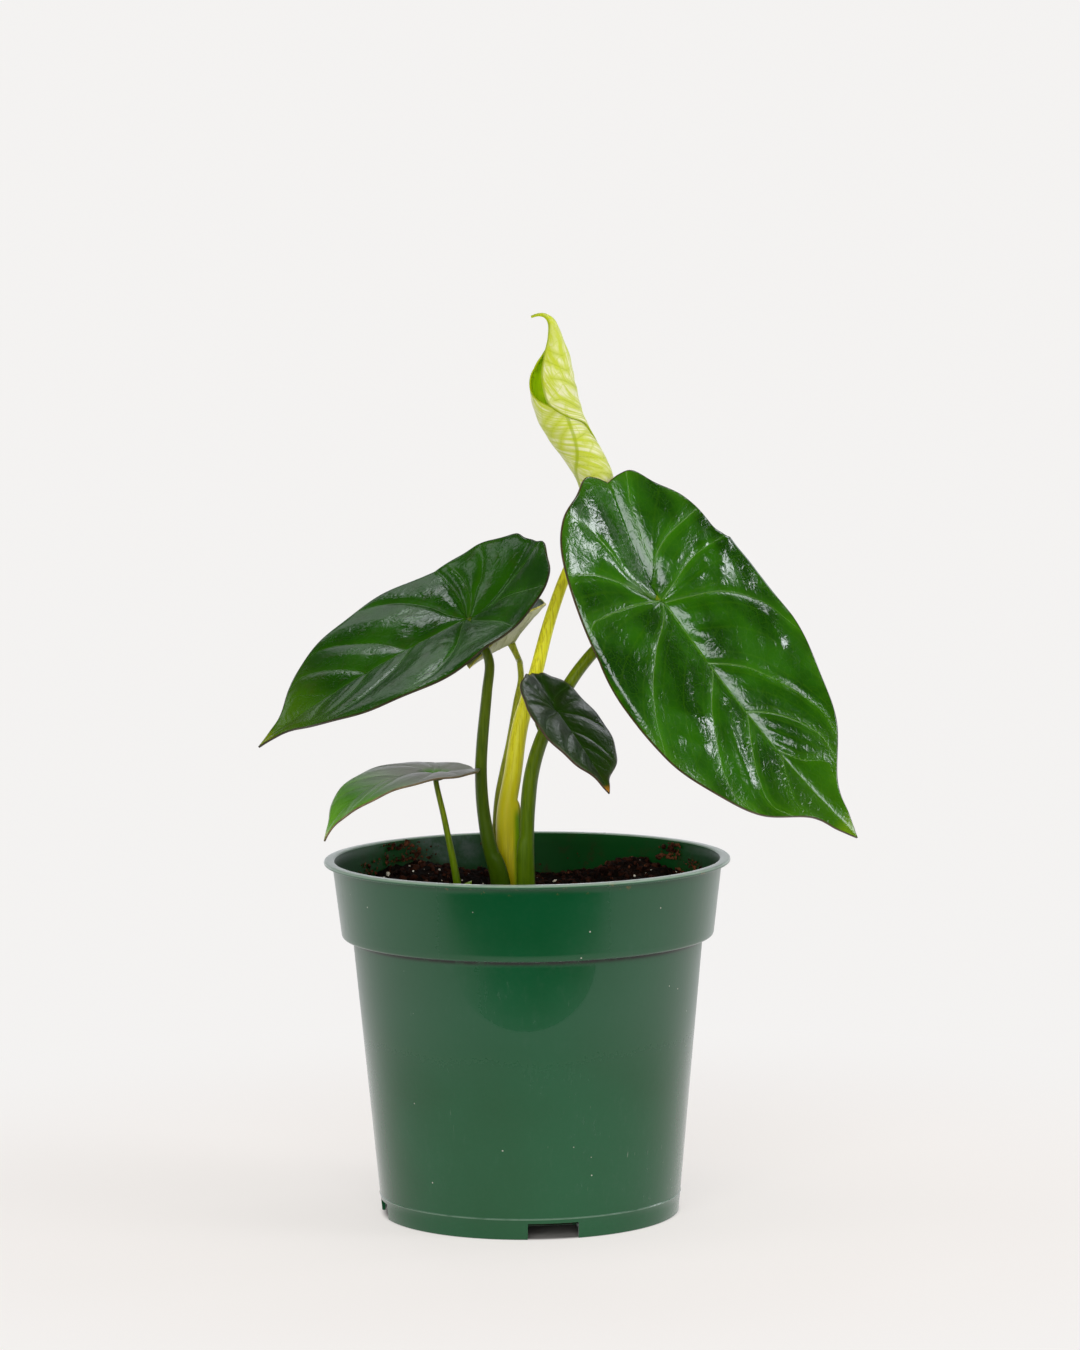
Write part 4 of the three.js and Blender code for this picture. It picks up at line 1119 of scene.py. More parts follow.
def signed_distance(chain, points, run_on=np.inf):
    """Distance to a chain, positive on its left. Its ends run on straight by that share."""
    starts, steps = chain[:-1], np.diff(chain, axis=0)
    offset = points[:, None, :] - starts[None]
    share = (offset * steps).sum(2) / (steps ** 2).sum(1)
    low, high = np.zeros(len(steps)), np.ones(len(steps))
    low[0], high[-1] = -run_on, 1 + run_on
    share = np.clip(share, low, high)
    apart = offset - share[..., None] * steps
    distance = np.hypot(apart[..., 0], apart[..., 1])
    nearest = distance.argmin(axis=1)
    rows = np.arange(len(points))
    near = offset[rows, nearest]
    turn = steps[nearest, 0] * near[:, 1] - steps[nearest, 1] * near[:, 0]
    return distance[rows, nearest] * np.sign(turn)


def vein_phase(leaf, veins, side, points):
    """Numbers the panels between the veins of one side, from the tip back to the notch.

    The phase is whole on a vein and runs evenly from one to the next. The span is the width of
    the panel there, so phase and span give the distance to the nearest vein."""
    ahead = np.array([
        -side * signed_distance(vein_chain(leaf, veins[i]), points) for i in VEIN_ORDER
    ])
    wide = 2 * leaf["half"]
    found = ahead > 0
    first = np.where(found.any(axis=0), found.argmax(axis=0), len(veins))
    rows = np.arange(len(points))
    beyond = np.abs(ahead[np.clip(first, 0, len(veins) - 1), rows])
    behind = np.abs(ahead[np.clip(first - 1, 0, None), rows])
    span = np.where((first == 0) | (first == len(veins)), wide, beyond + behind)
    phase = np.where(first == 0, -beyond / wide, first - 1 + behind / np.maximum(span, 1e-6))
    return phase, span


# %% Blade shape
def blade_rings(leaf):
    """Shares of the way out to the margin, with the last rings close together."""
    edge = 0.45 / leaf["half"]
    rings = np.linspace(0, 1 - 3 * edge, leaf["rings"] - 2)
    return np.concatenate([rings, [1 - edge, 1]])


def flanks(table, phase):
    """Depth of the dip along the veins, and how far its flank reaches, blended over the panels.

    The table gives every vein a depth, and the reach of its flank on the notch side and on the
    tip side."""
    depth, behind, before = np.array(table, dtype=float).T
    panel = np.floor(phase).astype(int)
    last = len(table) - 1
    tip_side, back_side = np.clip(panel, 0, last), np.clip(panel + 1, 0, last)
    part = np.where(panel < 0, 1.0, np.where(panel >= last, 0.0, phase - panel))
    blend = part ** 2 * (3 - 2 * part)
    reach = lerp(behind[tip_side], before[back_side], blend)
    return lerp(depth[tip_side], depth[back_side], blend), reach


def rise_from(rib, slope, reach):
    """Rise of a flank that leaves the midrib at that slope and flattens over its reach."""
    return slope * reach * np.tanh(rib / reach)


def relief(leaf, flat, out, phase, span, seed):
    """How far the flesh stands up at each flat point."""
    half = leaf["half"]
    along, across = flat[:, 0] / leaf["front"], flat[:, 1]
    right = across > 0
    rib = np.abs(across)
    panel = np.floor(phase)
    part = phase - panel
    near = np.minimum(part, 1 - part) * span
    near = np.where(panel < 0, (1 - part) * span, np.where(panel >= 6, part * span, near))
    puffs = [flanks(leaf["puffs"][side], phase) for side in ("left", "right")]
    depth, reach = (np.where(right, b, a) for a, b in zip(*puffs))
    free = 1 - np.exp(-rib / (RELIEF["rib_free"] * half))
    dip = -QUILT["height"] * half * depth * np.exp(-near / (QUILT["width"] * half * reach))
    dip *= np.where(along > 0, free, 1)
    groove = -RELIEF["groove"] * half * np.clip(depth, 0.2, 1)
    groove = groove * np.exp(-(near / (RELIEF["groove_width"] * half)) ** 2)
    shares = np.where(along > 0, along, flat[:, 0] / leaf["back"])
    left_slope, right_slope = leaf["slopes"]
    marks, left_reach, right_reach = leaf["shoulders"]
    rise = np.where(
        right,
        rise_from(rib, right_slope, half * np.interp(shares, marks, right_reach)),
        rise_from(rib, left_slope, half * np.interp(shares, marks, left_reach)),
    )
    roll = np.clip((out - 0.93) / 0.07, 0, 1) ** 2 * np.interp(along, *leaf["roll_under"])
    spots = [Vector((x / half * 3.2 + seed, y / half * 3.2, seed * 0.7)) for x, y in flat]
    drift = np.array([noise.noise(spot) for spot in spots])
    dimple = np.array([noise.noise(spot * 2.7) for spot in spots])
    inside = 1 - np.exp(-(np.minimum(near, rib) / (RELIEF["dimple_clear"] * half)) ** 2)
    ripple = np.sin(2 * math.pi * 3 * part) * np.clip(0.4 + 1.6 * drift, 0, 1)
    fade_rib = np.exp(-rib / (RELIEF["ripple_reach"] * half))
    minor = RELIEF["ripple"] * half * inside * ripple * fade_rib * np.where(right, 1.0, 0.3)
    minor *= np.where(along > 0, 1.0, 0.3)
    ridges = np.zeros(len(flat))
    for start, end, height, width in leaf["ridges"]:
        gap = signed_distance(on_leaf(leaf, (start, end)), flat, 0.0) / (width * half)
        ridges += height * half * np.exp(-gap ** 2)
    from_joint = np.hypot(flat[:, 0], across) / (RELIEF["navel_width"] * half)
    navel = leaf["navel"] * np.exp(-from_joint ** 2)
    fine = dip + groove + minor + RELIEF["dimple"] * half * inside * dimple - navel
    return fine * (1 - out ** 6) + rise * (1 - out ** 2) - roll + ridges


def lean(leaf, flat):
    """Broad, shallow tilts of the skin, too low to show in the outline, as pushes on its normal."""
    slopes = np.zeros((len(flat), 2))
    for start, end, width, uphill, sideways in leaf["leans"]:
        gap = signed_distance(on_leaf(leaf, (start, end)), flat, 0.0) / (width * leaf["half"])
        slopes += np.exp(-np.abs(gap) ** 3)[:, None] * (uphill, sideways)
    return -slopes @ np.array(unit_axes(leaf))[:2]


def blade_shape(leaf, seed):
    """The disc, stretched to the outline, puffed up and bent, with what its finish reads."""
    rings = blade_rings(leaf)
    shape = turned([(out, 0) for out in rings], leaf["spokes"])
    if sum(face.normal.z for face in shape.faces) < 0:
        bmesh.ops.reverse_faces(shape, faces=shape.faces)
    discs = np.array([vertex.co[:2] for vertex in shape.verts])
    out = np.hypot(discs[:, 0], discs[:, 1])
    turn = np.arctan2(discs[:, 1], discs[:, 0]) % (2 * math.pi)
    margin = leaf_margin(leaf)
    marks = np.linspace(0, 2 * math.pi, len(margin) + 1)
    ring = np.vstack([margin, margin[:1]])
    edge = np.column_stack([np.interp(turn, marks, column) for column in ring.T])
    flat = edge * out[:, None]
    right = vein_phase(leaf, RIGHT_VEINS, 1, flat)
    left = vein_phase(leaf, LEFT_VEINS, -1, flat)
    phase = np.where(flat[:, 1] > 0, right[0], left[0])
    span = np.where(flat[:, 1] > 0, right[1], left[1])
    lift = relief(leaf, flat, out, phase, span, seed)
    lift += leaf["wave"] * np.sin(WAVES * turn) * out ** 4
    place = bent(leaf, flat[:, 0], flat[:, 1], lift)
    rim_gap = (1 - out) * np.hypot(edge[:, 0], edge[:, 1]) * 0.85
    layers = {
        "flat": np.column_stack([flat, rim_gap]),
        "right_veins": np.column_stack([*right, out]),
        "left_veins": np.column_stack([*left, out]),
        "lean": lean(leaf, flat),
    }
    write_layers(shape, layers)
    for vertex, spot in zip(shape.verts, place):
        vertex.co = spot
    return shape


# %% [markdown]
# ### Leaf finish
# The upper skin is a deep, saturated green under a clear gloss. Veins are thin yellow-green
# lines with a brighter halo, a fine net of smaller veins wrinkles the gloss, and the margin is a
# thin brown line. The mesh carries the flat leaf coordinates and the panel numbers, so the
# material can draw a vein as a sharp line at any size. It also carries leans, which tilt the
# normal of some panels a little, as the dents of a real leaf do, and so place its highlights.
# A paler band is painted along the margins: a lighter green edge on most leaves, and on the front
# leaf a pale grey strip that is a painted highlight. The low leaf has a greyish violet sheen
# painted round its joint, where its skin mirrors the pale paper behind at a grazing angle.

# %% Leaf finishes
GRAZING_SHEEN = (0.42, 0.39, 0.42)
BLUSH = (0.055, 0.03, 0.012)
LOOKS = {
    "right": dict(deep=(0.0055, 0.042, 0.0001), plain=(0.026, 0.150, 0.0002),
                  tip=(0.045, 0.17, 0.0005), vein=(0.09, 0.24, 0.002), halo=0.15, line=0.42,
                  margin=(0.05, 0.03, 0.010), gloss=0.10, blush=0.0,
                  rim=(0.060, 0.19, 0.001), glow=0.35, end=(0.12, 0.24, 0.002), grazing_sheen=0),
    "left": dict(deep=(0.007, 0.050, 0.0003), plain=(0.020, 0.105, 0.0004),
                 tip=(0.09, 0.19, 0.002), vein=(0.035, 0.11, 0.002), halo=0.12, line=0.5,
                 margin=(0.026, 0.020, 0.007), gloss=0.14, blush=0.2,
                 rim=(0.04, 0.12, 0.002), glow=0.3, end=(0.22, 0.30, 0.004), grazing_sheen=0),
    # The front leaf's pale grey rim is a painted highlight along its margin
    "front": dict(deep=(0.006, 0.024, 0.0006), plain=(0.014, 0.055, 0.002),
                  tip=(0.03, 0.06, 0.004), vein=(0.03, 0.09, 0.003), halo=0.15, line=0.5,
                  margin=(0.06, 0.035, 0.022), gloss=0.24, blush=0.2,
                  rim=(0.13, 0.15, 0.10), glow=0.8, end=(0.50, 0.20, 0.015), grazing_sheen=0),
    "low": dict(deep=(0.05, 0.22, 0.004), plain=(0.14, 0.42, 0.014),
                tip=(0.16, 0.44, 0.008), vein=(0.06, 0.20, 0.012), halo=0.15, line=0.4,
                margin=(0.14, 0.10, 0.05), gloss=0.30, blush=0.1,
                rim=(0.10, 0.30, 0.008), glow=0.4, end=(0.28, 0.45, 0.01), grazing_sheen=0.85),
    "back": dict(deep=(0.008, 0.050, 0.003), plain=(0.02, 0.09, 0.005),
                 tip=(0.42, 0.40, 0.03), vein=(0.08, 0.18, 0.015), halo=0.2, line=0.6,
                 margin=(0.52, 0.48, 0.08), gloss=0.36, blush=0.2,
                 rim=(0.22, 0.22, 0.02), glow=0.3, end=(0.60, 0.58, 0.03), grazing_sheen=0),
}


def vein_lines(paint, leaf):
    """Parts of the flat coordinates, then masks of the veins, their halo and smaller veins."""
    along, across, rim_gap = paint.parts(paint.attribute("flat"))
    panels = paint.mix_vectors(
        paint.attribute("left_veins"), paint.attribute("right_veins"), across > 0
    )
    phase, span, _ = paint.parts(panels)
    part = phase.math("FRACT")
    near = part.least(1 - part) * span
    rib = abs(across)
    side_width = (1 - 0.55 * (rib / leaf["half"])) * leaf["half"] * 0.011
    side_line = (near / side_width).fade(0.35, 1.0, 1, 0)
    rib_width = (along / leaf["front"]).fade(0.0, 1.0, 0.015, 0.005) * leaf["half"]
    rib_line = (rib / rib_width).fade(0.4, 1.0, 1, 0) * along.fade(-6, 0)
    gap = near.least(rib + (1 - along.fade(-6, 0)) * 40)
    halo = (gap / (0.075 * leaf["half"])).fade(0, 1, 1, 0)
    inner = abs((part * 3).math("FRACT") - 0.5) * span / 3
    minor = (inner / (0.012 * leaf["half"])).fade(0.2, 1.0, 1, 0)
    return along, across, rim_gap, side_line.most(rib_line), halo, minor


def leaf_finish(name, leaf, look):
    paint = Paint(name + "_leaf_skin")
    along, across, rim_gap, line, halo, minor = vein_lines(paint, leaf)
    place = paint.place()
    wander = paint.cloud(place, 120, 2, colour=True)
    net_place = paint.pushed(place, wander, 0.004)
    net = paint.cells(net_place, 330, "DISTANCE_TO_EDGE")
    fine_net = paint.cells(net_place, 900, "DISTANCE_TO_EDGE")
    broad = paint.cloud(place, 45, 3)
    colour = paint.mix(look["deep"], look["plain"], broad.fade(0.3, 0.7) * 0.7 + halo * 0.3)
    colour = paint.mix(colour, look["tip"], (along / leaf["front"]).fade(0.55, 1.0) * 0.75)
    # A paler band along the margin: a lighter green edge on most leaves, and on the front leaf a
    # pale grey strip that is a painted highlight
    rim_tone_and_sheen = (rim_gap / (0.12 * leaf["half"])).fade(0, 1, 1, 0)
    colour = paint.mix(colour, look["rim"], rim_tone_and_sheen * broad.fade(0.35, 0.65) * look["glow"])
    colour = paint.mix(colour, look["end"], (along / leaf["front"]).fade(0.90, 0.96))
    # Painted sheen on the low leaf: a grey violet tint round its joint, where its skin mirrors the
    # pale paper behind at a grazing angle
    if look["grazing_sheen"]:
        around = (along * along + across * across).math("SQRT") / leaf["half"]
        grazing_sheen = around.fade(0.15, 0.38) * (along / leaf["front"]).fade(0.15, 0.70, 1, 0)
        colour = paint.mix(colour, GRAZING_SHEEN, grazing_sheen * look["grazing_sheen"])
    blush = paint.cloud(place, 170, 4, 0.65).fade(0.5, 0.75) * look["blush"]
    colour = paint.mix(colour, BLUSH, blush)
    web = net.fade(0.0, 0.07, 1, 0) * 0.10 + fine_net.fade(0.0, 0.08, 1, 0) * 0.05
    colour = paint.mix(colour, look["vein"], (halo * look["halo"] * 0.5 + web).least(1.0))
    colour = paint.mix(colour, look["vein"], minor * 0.08)
    colour = paint.mix(colour, look["vein"], line * look["line"])
    colour = paint.mix(colour, look["margin"], (rim_gap / 0.45).fade(0.3, 1.0, 0.85, 0))
    gloss = look["gloss"] + 0.1 * broad + 0.1 * line
    wrinkle = paint.cloud(net_place, 420, 3, 0.6)
    height = net.fade(0.0, 0.25) * 0.35 + wrinkle * 0.8 + fine_net.fade(0.0, 0.3) * 0.08
    normal = paint.node("ShaderNodeNewGeometry", output="Normal")
    leaning = paint.node(
        "ShaderNodeVectorMath", {"operation": "ADD"}, {0: normal, 1: paint.attribute("lean")}
    )
    leaning = paint.node("ShaderNodeVectorMath", {"operation": "NORMALIZE"}, {0: leaning})
    relief = paint.bump(height, 0.00015, 0.5, leaning)
    relief = paint.bump(1 - line, 0.0003, 0.5, relief)
    return paint.surface(
        Base_Color=colour, Roughness=gloss, Normal=relief, Specular_IOR_Level=0.5
    )


def underside_finish(name, leaf, pale, vein):
    paint = Paint(name + "_leaf_underside")
    line, halo = vein_lines(paint, leaf)[3:5]
    place = paint.place()
    net = paint.cells(place, 420, "DISTANCE_TO_EDGE")
    broad = paint.cloud(place, 60, 3)
    shade = tuple(0.6 * channel for channel in pale)
    colour = paint.mix(shade, pale, broad.fade(0.3, 0.7))
    colour = paint.mix(colour, vein, net.fade(0, 0.08, 1, 0) * 0.3 + halo * 0.15)
    colour = paint.mix(colour, vein, line * 0.9)
    relief = paint.bump(net.fade(0, 0.2, 1, 0), 0.0003, 0.5)
    relief = paint.bump(line, 0.0006, 0.8, relief)
    return paint.surface(
        Base_Color=colour, Roughness=0.5 + 0.1 * broad, Normal=relief, Specular_IOR_Level=0.4
    )


def margin_finish(name, tone):
    paint = Paint(name + "_leaf_margin")
    place = paint.place()
    mottle = paint.cloud(place, 300, 3)
    light = tuple(1.8 * channel for channel in tone)
    colour = paint.mix(tone, light, mottle.fade(0.4, 0.7))
    return paint.surface(
        Base_Color=colour, Roughness=0.4, Normal=paint.bump(mottle, 0.0002, 0.4),
        Specular_IOR_Level=0.5,
    )


# %% Grow the five open leaves
# Colours of the underside and of its veins
UNDER = {
    "right": ((0.10, 0.15, 0.05), (0.22, 0.26, 0.08)),
    "left": ((0.10, 0.15, 0.05), (0.22, 0.26, 0.08)),
    "front": ((0.12, 0.16, 0.06), (0.22, 0.26, 0.09)),
    "low": ((0.16, 0.22, 0.08), (0.26, 0.32, 0.10)),
    "back": ((0.68, 0.70, 0.42), (0.42, 0.46, 0.14)),
}

for seed, (name, leaf) in enumerate(LEAVES.items(), 1):
    finishes = [
        leaf_finish(name, leaf, LOOKS[name]),
        underside_finish(name, leaf, *UNDER[name]),
        margin_finish(name, LOOKS[name]["margin"]),
    ]
    blade = make_piece(name + "_leaf", blade_shape(leaf, seed), finishes, name + "_blade")
    give_flesh(blade, leaf["thick"])

# %% [markdown]
# ### Stalks of the open leaves
# Each stalk follows its measured route and then meets its blade from below, squarely. The radius
# swells towards the foot, and where the stalk sheathes its neighbour one side stands out as a
# thin lip that dies away upwards.

# %% Stalk routes, as in the part
STALKS = {
    "right": dict(
        route=((0.6, -3.6, 122.45), (0.5, -3.7, 127), (0, -4, 143.3), (0.5, -4, 157.2),
               (2.2, -4, 170.7), (6.5, -4, 184.5), (17, -3, 204.7), (24.8, -2, 214.9),
               (30.2, -1, 220.1), (38.3, -1, 226.6)),
        radii=(2.5, 2.7, 2.9, 2.7, 2.5, 2.3, 2.2, 2.1), finish=OLIVE),
    "left": dict(
        route=((-10.8, -3.9, 122.45), (-10.8, -4.1, 127), (-11.8, -5, 133.1), (-14.5, -6, 143.7),
               (-16.7, -6, 157.6), (-17.3, -6.5, 171.1), (-16.8, -7, 181.5), (-14.7, -8, 202),
               (-13.6, -9.2, 213), (-15, -9.6, 218)),
        radii=(3.3, 3.0, 2.5, 2.3, 2.2, 2.0, 1.8, 1.7), finish=DEEP_OLIVE),
    "front": dict(
        route=((1.6, 5.4, 122.45), (1.4, 5, 127), (0, 3, 142.4), (0.5, 3, 156.3), (2.6, 3.2, 169.9),
               (6.2, 3.3, 182.9), (4.6, -1, 189.2), (4.8, -6, 190.3), (6.2, -14, 190)),
        radii=(1.5, 1.4, 1.3, 1.2, 1.1, 1.1), finish=OLIVE),
    "low": dict(
        route=((-26.2, -11.8, 122.45), (-26.3, -11.9, 125.5), (-28.2, -12, 137.7),
               (-30.1, -12, 147.4), (-31.6, -12, 155.1)),
        radii=(1.6, 1.4, 1.2, 1.1, 1.0), finish=OLIVE, approach=3),
    "back": dict(
        route=((-11.2, 7, 122.45), (-11.4, 7.2, 127), (-11.9, 9, 145.2), (-11, 9.5, 158.7),
               (-9, 10, 169.1), (-6.6, 11, 179.5), (-3.4, 14, 196.6), (-1.8, 17, 204),
               (-2.1, 20.5, 209.8)),
        radii=(1.7, 1.5, 1.4, 1.3, 1.2, 1.2), finish=PALE),
}
# Last straight run of a stalk up to its blade, and how close to the blade it ends
APPROACH, STALK_GAP = 7, 0.2


def stalk_width(radii, sheath=None, flare=0.0):
    """Radius by share of the length and by turn. sheath is (bearing, height, top, width)."""
    marks = np.linspace(0, 1, len(radii))

    def width_at(share, turn):
        radius = float(np.interp(share, marks, radii))
        radius *= 1 + flare * max(0.0, (share - 0.94) / 0.06) ** 2
        if sheath:
            bearing, stand, top, wide = sheath
            away = (turn - math.radians(bearing) + math.pi) % (2 * math.pi) - math.pi
            lip = math.exp(-(away / math.radians(wide)) ** 2)
            radius += stand * lip * max(0.0, 1 - share / top) ** 0.3
        return radius
    return width_at


# %% Grow the stalks
STALK_STEPS = 110


def grow_stalk(name, route, radii, finish, sheath=None, flare=0.0):
    path = smooth_curve(route, STALK_STEPS + 1, 0.5)
    shape = rod_shape(path, stalk_width(radii, sheath, flare))
    return make_piece(name + "_leaf_stalk", shape, [finish], name + "_stalk")


# The lip of a sheath: bearing, stand in millimetres, share of the stalk's length, and width
SHEATHS = {
    "right": (25, 2.4, 0.17, 42), "left": (140, 2.2, 0.15, 45), "furled": (172, 3.5, 0.24, 36),
}

for name, stalk in STALKS.items():
    leaf = LEAVES[name]
    up = unit_axes(leaf)[2]
    joint = np.array(leaf["joint"])
    approach = joint - stalk.get("approach", APPROACH) * up
    route = [*stalk["route"], approach, joint - STALK_GAP * up]
    grow_stalk(name, route, stalk["radii"], stalk["finish"], SHEATHS.get(name), 0.35)

# %% [markdown]
# ## The new leaf
# The youngest leaf stands up on the thickest stalk, rolled lengthwise like a sheet of paper. Its
# mesh is a grid wound round a bent middle line, with the inner edge tucked under the outer one.
# The roll opens near the top, where the bright inner face shows, and ends in a hooked tip.

# %% Sizes of the roll, as in the part
# The inner edge is tucked in by tuck, over the last part of the winding, but not near open_at
ROLL = {
    "y": 12, "thick": 0.7, "tuck": 1.0, "tuck_from": 0.72, "tuck_limit": 0.45,
    "rows": 190, "columns": 110, "open_at": 0.53, "open_reach": 0.11,
    # middle x and z, radius, outer edge's angle, winding
    "stations": (
        (28.4, 269, 2.7, -60, 395), (28.9, 273.6, 4.6, -65, 400), (28.1, 278.3, 6.2, -62, 402),
        (27, 283.4, 6.7, -50, 402), (23.4, 290.6, 7, -25, 400), (18.4, 298.3, 7.5, 15, 400),
        (14.9, 304.9, 8.2, 72, 394), (12.6, 311.5, 8.7, 108, 356), (11.4, 317.8, 8.6, 116, 300),
        (11.8, 323.2, 7.5, 126, 304), (12.5, 328.3, 5.7, 138, 318), (12.5, 334, 3.4, 150, 300),
        (12, 338.7, 2.1, 150, 270), (11, 342, 1.4, 140, 220), (9, 344, 0.9, 120, 170),
        (6.4, 344.4, 0.7, 100, 140), (3.6, 343.6, 0.6, 90, 110),
    ),
}
# Veins that press through the front of the roll, as x and z
ROLL_VEINS = (
    ((16.6, 306.5), (17.4, 304.2), (19.9, 296.9), (20.7, 291.1), (20.3, 284.5), (22.4, 277.6),
     (24.0, 271.0)),
    ((20.7, 291.1), (25.6, 290.6), (31.5, 289.6)),
    ((24.0, 279.0), (25.1, 281.4), (27.1, 283.8), (29.2, 284.6), (33.5, 283.6)),
    ((10.6, 320.9), (15.5, 319.9), (20.6, 316.8)),
    ((9.0, 327.4), (12.9, 325.6), (16.8, 323.6)),
    ((9.7, 331.6), (12.4, 330.2), (15.2, 329.2)),
    ((12.0, 312.6), (15.6, 312.6), (21.4, 309.2)),
    ((19.9, 297.4), (24.0, 299.6), (27.0, 300.4)),
    ((20.4, 287.2), (24.0, 287.6), (30.0, 286.2)),
    ((17.8, 303.0), (15.0, 298.6), (14.6, 294.4)),
    ((15.4, 305.8), (11.6, 301.6), (10.8, 298.6)),
    ((12.4, 308.6), (9.0, 304.6), (8.2, 302.0)),
)


def smooth_columns(table, shares):
    """Rows of a table read at any share, on a smooth curve through them."""
    table = np.array(table, dtype=float)
    padded = np.vstack([2 * table[0] - table[1], table, 2 * table[-1] - table[-2]])
    spot = np.clip(shares, 0, 1) * (len(table) - 1)
    low = np.minimum(spot.astype(int), len(table) - 2)
    t = (spot - low)[:, None]
    a, b, c, d = (padded[low + i] for i in range(4))
    return 0.5 * (2 * b + (c - a) * t + (2 * a - 5 * b + 4 * c - d) * t ** 2
                  + (3 * b - a - 3 * c + d) * t ** 3)


# %% Roll shape
def roll_shape():
    rows, columns = ROLL["rows"], ROLL["columns"]
    shape = bmesh.new()
    bmesh.ops.create_grid(shape, x_segments=columns, y_segments=rows, size=1)
    spots = np.array([vertex.co[:2] for vertex in shape.verts])
    round_share = (spots[:, 0] + 1) / 2
    share = (spots[:, 1] + 1) / 2
    table = smooth_columns(ROLL["stations"], share)
    ahead = smooth_columns(ROLL["stations"], share + 0.002)
    behind = smooth_columns(ROLL["stations"], share - 0.002)
    tangent = ahead[:, :2] - behind[:, :2]
    tangent /= np.linalg.norm(tangent, axis=1)[:, None]
    right = np.column_stack([tangent[:, 1], -tangent[:, 0]])
    radius, edge, span = table[:, 2], table[:, 3], table[:, 4]
    tuck = np.minimum(ROLL["tuck"], ROLL["tuck_limit"] * radius)
    open_part = np.exp(-((share - ROLL["open_at"]) / ROLL["open_reach"]) ** 2)
    tuck *= 1 - open_part
    late = np.clip((round_share - ROLL["tuck_from"]) / (1 - ROLL["tuck_from"]), 0, 1)
    turn = np.radians(edge - span * round_share)
    reach = radius - tuck * late ** 2 * (3 - 2 * late)
    reach += roll_relief(share, round_share, radius)
    x = table[:, 0] + right[:, 0] * reach * np.cos(turn)
    z = table[:, 1] + right[:, 1] * reach * np.cos(turn)
    y = ROLL["y"] - reach * np.sin(turn)
    sheet = np.radians(span) * radius
    front = np.column_stack([x, z])
    gaps = [np.abs(signed_distance(smooth_curve(vein, 24), front, 0.0)) for vein in ROLL_VEINS]
    first_gap, other_gap = gaps[0], np.min(gaps[1:], axis=0)
    hidden = np.where(y > ROLL["y"] + 1.5, 9.0, 0.0)
    layers = {
        "roll": np.column_stack([round_share * sheet, share * 85, (1 - round_share) * sheet]),
        "roll_veins": np.column_stack([first_gap + hidden, other_gap + hidden, share]),
    }
    write_layers(shape, layers)
    for vertex, spot in zip(shape.verts, np.column_stack([x, y, z])):
        vertex.co = spot
    middle = Vector((table[:, 0].mean(), ROLL["y"], table[:, 1].mean()))
    outward = sum((face.calc_center_median() - middle).dot(face.normal) for face in shape.faces)
    if outward < 0:
        bmesh.ops.reverse_faces(shape, faces=shape.faces)
    return shape


def roll_relief(share, round_share, radius):
    """Veins press through the rolled sheet as low ripples."""
    ripple = np.sin(share * 60 + round_share * 14)
    return 0.12 * ripple * np.clip(radius / 8, 0, 1) * np.sin(math.pi * np.clip(share, 0, 1))


# %% Roll finish
THIN_RIB_SPACING = 5.5


def roll_finish(name, deep, pale, vein):
    paint = Paint(name)
    place = paint.place()
    arc, height, rest = paint.parts(paint.attribute("roll"))
    rib, side_rib, _ = paint.parts(paint.attribute("roll_veins"))
    _, _, z = paint.parts(place)
    broad = paint.cloud(paint.scaled(place, (1, 1, 0.6)), 110, 3)
    stretched = {"X": height * 0.5 + arc * 0.9, "Y": height * 0.16, "Z": arc * 0.1}
    flow = paint.node("ShaderNodeCombineXYZ", feeds=stretched)
    patches = paint.cloud(flow, 0.75, 3, 0.6)
    colour = paint.mix(deep, pale, patches.fade(0.36, 0.64) * (1 - side_rib.fade(0.2, 2.2, 0.8, 0)))
    wave = (height * 0.9 - arc * 0.55 + broad * 9) / THIN_RIB_SPACING
    part = wave.math("FRACT")
    thin_rib = (part.least(1 - part) * THIN_RIB_SPACING).fade(0.05, 0.4, 1, 0)
    colour = paint.mix(colour, deep, thin_rib * 0.5)
    net = paint.cells(place, 520, "DISTANCE_TO_EDGE").fade(0, 0.06, 1, 0)
    colour = paint.mix(colour, vein, net * 0.10)
    ribs = (rib.fade(0.25, 0.9, 1, 0)).most(side_rib.fade(0.05, 0.4, 0.6, 0))
    colour = paint.mix(colour, vein, ribs * 0.75)
    tip = z.fade(0.327, 0.338)
    colour = paint.mix(colour, deep, tip * 0.7)
    edge = arc.least(rest).fade(0.4, 1.2, 1, 0)
    colour = paint.mix(colour, vein, edge * 0.9)
    relief = paint.bump(ribs + thin_rib * 0.3 + net * 0.2, 0.0003, 0.5)
    return paint.surface(
        Base_Color=colour, Roughness=0.36 + 0.12 * broad, Normal=relief, Specular_IOR_Level=0.45,
        Subsurface_Weight=0.15, Subsurface_Radius=(0.003, 0.003, 0.001), Subsurface_Scale=1.0,
    )


roll = make_piece(
    "rolled_leaf", roll_shape(),
    [roll_finish("young_skin", (0.58, 0.66, 0.04), (0.84, 0.84, 0.50), (0.36, 0.45, 0.0)),
     roll_finish("young_inside", (0.50, 0.80, 0.004), (0.60, 0.86, 0.01), (0.40, 0.56, 0.0)),
     roll_finish("young_edge", (0.40, 0.50, 0.0), (0.44, 0.54, 0.0), (0.38, 0.47, 0.0))],
    "furled_blade",
)
give_flesh(roll, ROLL["thick"])

